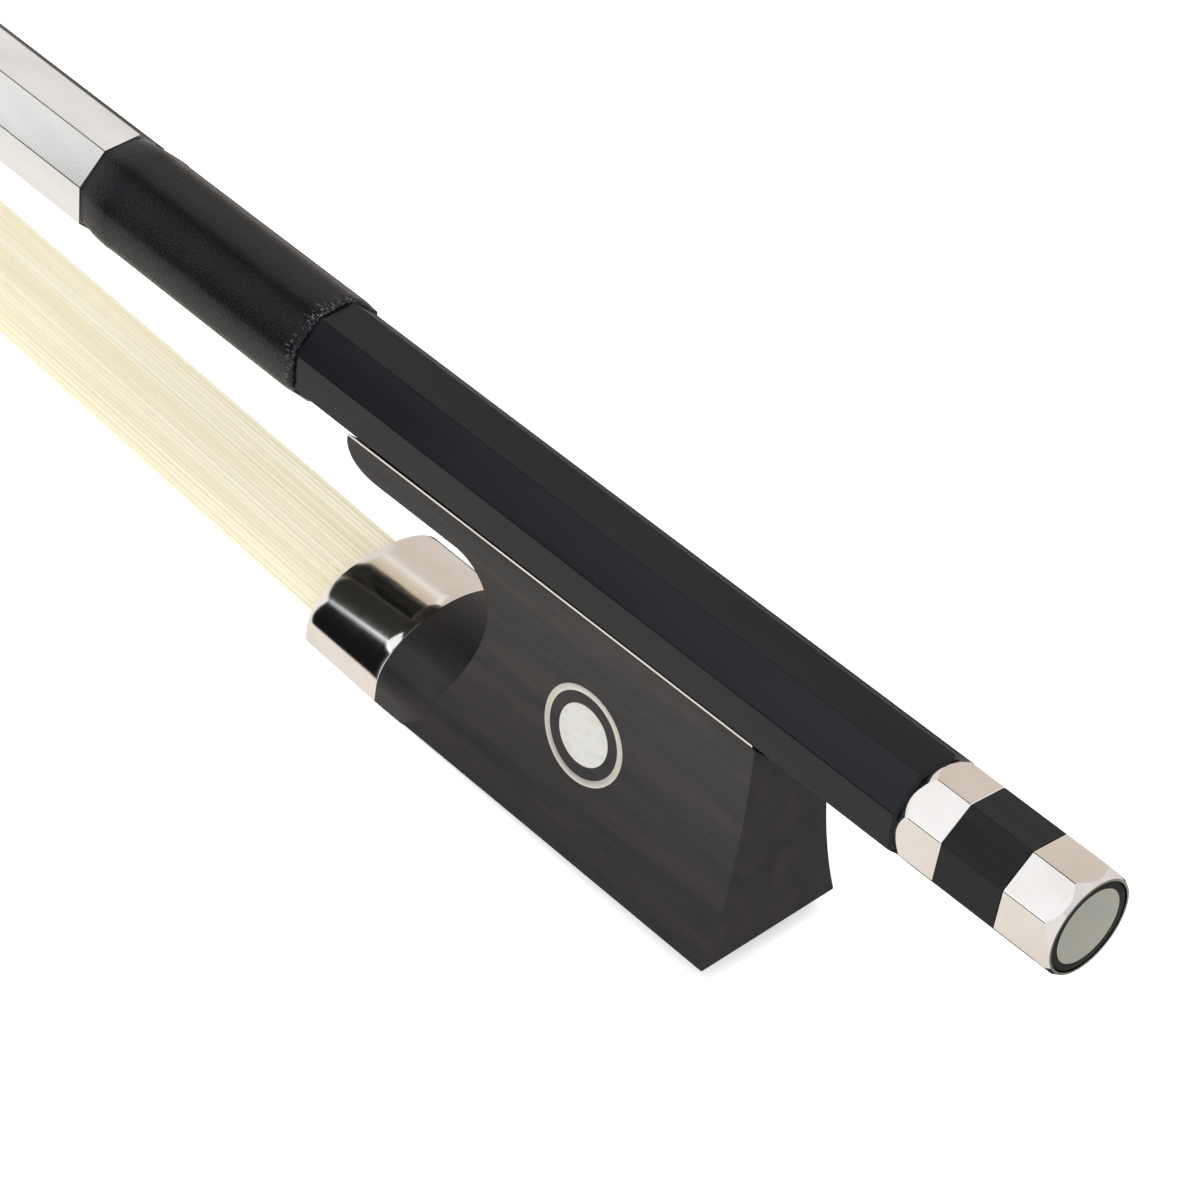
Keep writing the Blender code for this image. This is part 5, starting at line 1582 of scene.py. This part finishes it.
@dataclass
class Button(Assembly):
    """The button: collar, core and cap, each octagonal, with the eye in its end."""

    body: Body = Body.SCREW
    lie: Matrix = field(default_factory=lambda: HANDLE @ Matrix.Rotation(math.radians(-6.5), 4, "X"))
    flats: float = 8.5 * MM
    front: float = 0.04 * MM
    collar: float = 4.25 * MM
    core: float = 6.1 * MM
    cap: float = 5.06 * MM
    rim_slope: float = 0.5
    collar_rim: float = 4.12 * MM
    cap_rim: float = 4.1 * MM
    core_end: float = 3.78 * MM
    pearl: float = 3.25 * MM
    bore: float = 3.4 * MM
    bore_clearance: float = 0.12 * MM
    joint: float = 0.05 * MM
    recess: float = 0.10 * MM

    def octagon(self, x: float, half: float, edge: float = EASED_EDGE) -> Outline:
        """An upright octagon with eased corners, three points to each corner.

        Args:
            x: Where it stands along the screw.
            half: Half its width across flats.
            edge: Half the width of the eased corner.

        Returns:
            The outline.
        """
        shoulder, reach, corner = octagon_points(half, edge)
        line = []
        for facet in range(8):
            for angle, radius in ((-shoulder, reach), (shoulder, reach), (EIGHTH / 2, corner)):
                turn = facet * EIGHTH + angle
                line.append(Vector((x, radius * math.cos(turn), radius * math.sin(turn))))
        return line

    def bar(self, name: str, start: float, end: float) -> Piece:
        """A length of the octagon, with eased ends.

        Args:
            name: The piece's name.
            start: Where it begins.
            end: Where it ends.

        Returns:
            The new object.
        """
        half = self.flats / 2
        ease = 0.06 * MM
        return loft(name, [self.octagon(start, half - ease), self.octagon(start + ease, half),
                           self.octagon(end - ease, half), self.octagon(end, half - ease)])

    def build(self) -> None:
        """Builds the button's pieces."""
        first = self.front + self.collar
        second = first + self.core
        end = second + self.cap
        past = 1.0 * MM
        corner = self.flats / 2 / math.cos(EIGHTH / 2) + 0.2 * MM
        run_in = (corner - self.collar_rim) / self.rim_slope
        run_out = (corner - self.cap_rim) / self.rim_slope
        envelope = ((self.front, self.collar_rim), (self.front + run_in, corner),
                    (end - run_out, corner), (end, self.cap_rim))
        for name, node, span in (("button_collar_ring", "button_collar", (self.front, first)),
                                 ("button_cap_ring", "button_cap", (second, end))):
            ring = self.bar(name, *span)
            cut(ring, turned("turned_envelope", envelope), operation="INTERSECT")
            bore = (self.bore if node == "button_collar" else self.core_end) + self.bore_clearance
            cut(ring, turned("ring_bore", ((-past, bore), (end + past, bore))))
            shade(ring, 16.0, weighted=True)
            self.dress(ring, Slot.NICKEL, node)
        core = self.bar("ebony_button_core", first + self.joint, second - self.joint)
        spigot = turned("end_spigot", ((first + past, self.core_end - 0.3 * MM),
                                       (end - 0.35 * MM, self.core_end), (end - self.recess, self.core_end)))
        front_spigot = turned("front_spigot", ((self.front, self.bore), (first + past, self.bore)))
        cut(core, spigot, front_spigot, operation="UNION")
        shade(core, 16.0, weighted=True)
        self.dress(core, Slot.EBONY, "button_core", finish=self.paint.core)
        face = end - self.recess
        dome = ((-0.9 * MM, self.pearl), (-0.03 * MM, self.pearl), (0.02 * MM, self.pearl - 0.08 * MM),
                (0.03 * MM, 2.0 * MM), (0.035 * MM, 0.8 * MM))
        lens = turned("button_end_pearl", [(face + rise, radius) for rise, radius in dome])
        shade(lens, 30.0)
        self.dress(lens, Slot.PEARL, "button_pearl", finish=self.paint.end_pearl)


@dataclass
class Studio:
    """The floor, the lights, the white surroundings and the camera."""

    camera_place: Triple = (156.75, -202.76, 241.35)
    camera_forward: Triple = (-0.5159, 0.5453, -0.6607)
    camera_right: Triple = (0.6793, 0.7303, 0.0724)
    lens_mm: float = 145.41
    floor_size: float = 6.0
    lamps: tuple = (("overhead_softbox", (0.35, -0.15, 1.3), (0.25, 0.0, 0.0), 1.6, 16.0),
                    ("near_softbox", (0.7, -1.2, 0.7), (0.25, 0.0, 0.0), 1.0, 7.0))
    card: tuple = ("button_card", (0.206, -0.185, 0.213), (0.355, -0.003, 0.029), 0.12, 0.052)
    card_colour: Triple = (0.92, 0.94, 1.0)
    table_edge: tuple[float, float] = (-0.52, -0.44)
    streak_edge: tuple[float, float] = (0.50, 0.525)
    ceiling_edge: tuple[float, float] = (0.575, 0.60)
    table_colours: tuple = ((0, "#F6F2ED"), (100, "#F6F2ED"), (120, "#2E2E2E"), (180, "#2E2E2E"),
                            (204, "#1A1A1A"), (208, "#D8D4CE"), (216, "#D8D4CE"), (218.5, "#101010"),
                            (240, "#101010"), (260, "#EDE8E2"), (360, "#F6F2ED"))
    wall_colours: tuple = ((0, "#F4F4F4"), (9, "#E8ECEC"), (13, "#12302D"), (19, "#141516"),
                           (45.4, "#141516"), (46.6, "#FFFFFF"), (90, "#FFFFFF"), (118, "#EAE8E6"),
                           (128, "#EAE8E6"), (134, "#DED5CF"), (160, "#DED5CF"), (200, "#F4F4F4"),
                           (360, "#F4F4F4"))
    streak_colours: tuple = ((0, "#F0F2F6"), (30, "#F8FAFF"), (37, "#E8ECF4"), (40, "#B4BEC6"),
                             (46, "#8C9AA0"), (55, "#26282C"), (80, "#26282C"), (95, "#DED5CF"),
                             (118, "#EAE8E6"), (128, "#EAE8E6"), (134, "#DED5CF"), (160, "#DED5CF"),
                             (200, "#F4F4F4"), (360, "#F0F2F6"))
    ceiling_colours: tuple = ((0, "#8A8C90"), (15, "#2B2C29"), (84, "#2B2C29"), (89, "#B4A388"),
                              (110, "#CDBFA6"), (124, "#E0D6C6"), (130, "#FFFFFF"), (136, "#FBF8F3"),
                              (141, "#DED5CF"), (160, "#DED5CF"), (220, "#F0F0F0"), (320, "#E6E8F0"),
                              (360, "#8A8C90"))

    def build(self) -> None:
        """Sets up the stage."""
        self.floor()
        self.light()
        self.surroundings()
        self.camera()
        bpy.context.scene.view_settings.view_transform = "Standard"

    def floor(self) -> None:
        """A white floor that keeps the shadow and can be looked through from below."""
        deselect()
        bpy.ops.mesh.primitive_plane_add(size=self.floor_size, location=(0.0, 0.0, -0.02 * MM))
        floor = named("studio_floor")
        made = bpy.data.materials.new("matt_white_paper")
        made.use_nodes = True
        tree = made.node_tree
        shader = tree.nodes["Principled BSDF"]
        feed(tree, shader, {"Base Color": linear("#F2F2F2"), "Roughness": 0.9, "Specular IOR Level": 0.0})
        glow = add_node(tree, "Emission", {"Color": WHITE, "Strength": 0.45})
        path = add_node(tree, "LightPath").outputs
        shown = add_node(tree, "Math", (path["Is Camera Ray"], path["Is Glossy Ray"]), operation="ADD")
        lifted = add_node(tree, "AddShader", (shader, glow))
        above = add_node(tree, "MixShader", (shown, shader, lifted))
        back = add_node(tree, "NewGeometry").outputs["Backfacing"]
        both = add_node(tree, "MixShader", (back, above, add_node(tree, "BsdfTransparent")))
        feed(tree, tree.nodes["Material Output"], {"Surface": both})
        floor.data.materials.append(made)
        floor.visible_glossy = False

    def light(self) -> None:
        """Two large soft lamps that no metal mirrors, and a small bluish card that the button mirrors."""
        for lamp in self.lamps:
            self.lamp(*lamp).visible_glossy = False
        card = self.lamp(*self.card)
        card.data.color = self.card_colour
        card.visible_camera = False

    def lamp(self, name: str, place: Triple, aim: Triple, size: float, power: float) -> Piece:
        """One square area lamp.

        Args:
            name: The lamp's name.
            place: Where it stands.
            aim: The point that it faces.
            size: Its width.
            power: Its power in watts.

        Returns:
            The lamp.
        """
        deselect()
        bpy.ops.object.light_add(type="AREA", location=place)
        made = bpy.context.object
        made.name = name
        made.data.size = size
        made.data.energy = power
        made.rotation_euler = (Vector(aim) - Vector(place)).to_track_quat("-Z", "Y").to_euler()
        return made

    def surroundings(self) -> None:
        """A white world; glossy surfaces see four bands round the studio, from the table to the ceiling."""
        world = bpy.data.worlds.new("white_studio")
        bpy.context.scene.world = world
        world.use_nodes = True
        tree = world.node_tree
        tree.nodes.clear()
        way = add_node(tree, "TexCoord").outputs["Generated"]
        axes = add_node(tree, "SeparateXYZ", {"Vector": way}).outputs
        turn = add_node(tree, "Math", (axes["X"], axes["Y"]), operation="ARCTAN2")
        ring = add_node(tree, "MapRange", (turn, -math.pi, math.pi))
        rows = (self.table_colours, self.wall_colours, self.streak_colours, self.ceiling_colours)
        bands = [add_node(tree, "ValToRGB", (ring,), [(degrees / 360.0, code) for degrees, code in row])
                 for row in rows]
        seen = bands[0].outputs["Color"]
        for band, edge in zip(bands[1:], (self.table_edge, self.streak_edge, self.ceiling_edge)):
            height = add_node(tree, "MapRange", (axes["Z"], *edge))
            mixed = add_node(tree, "Mix", {"Factor": height, "A": seen, "B": band}, data_type="RGBA")
            seen = mixed.outputs["Result"]
        mirrored, plain, white = (add_node(tree, "Background", {"Color": colour, "Strength": strength})
                                  for colour, strength in ((seen, 1.0), (WHITE, 0.55), (WHITE, 1.0)))
        path = add_node(tree, "LightPath").outputs
        shiny = add_node(tree, "MixShader", (path["Is Glossy Ray"], plain, mirrored))
        final = add_node(tree, "MixShader", (path["Is Camera Ray"], shiny, white))
        add_node(tree, "OutputWorld", {"Surface": final}).is_active_output = True

    def camera(self) -> None:
        """The photograph's camera, placed in the handle's frame."""
        deselect()
        bpy.ops.object.camera_add()
        camera = bpy.context.object
        camera.name = "portrait_camera"
        forward = Vector(self.camera_forward).normalized()
        right = Vector(self.camera_right).normalized()
        down = forward.cross(right)
        turn = Matrix((right, -down, -forward)).transposed().to_4x4()
        camera.matrix_world = HANDLE @ Matrix.Translation(Vector(self.camera_place) * MM) @ turn
        camera.data.lens = self.lens_mm
        camera.data.sensor_width = 36.0
        camera.data.clip_start = 0.001
        bpy.context.scene.camera = camera


def main() -> None:
    """Dresses the bow and sets the stage."""
    logging.basicConfig(level=logging.INFO, format="%(name)s: %(message)s")
    deselect()
    paint = Paint()
    paint.carry_over(frame["nodes"])
    for part in (Stick(paint), Grip(paint), Hair(paint), HeadFittings(paint), Frog(paint), Button(paint)):
        part.build()
    Studio().build()


if __name__ == "__main__":
    main()
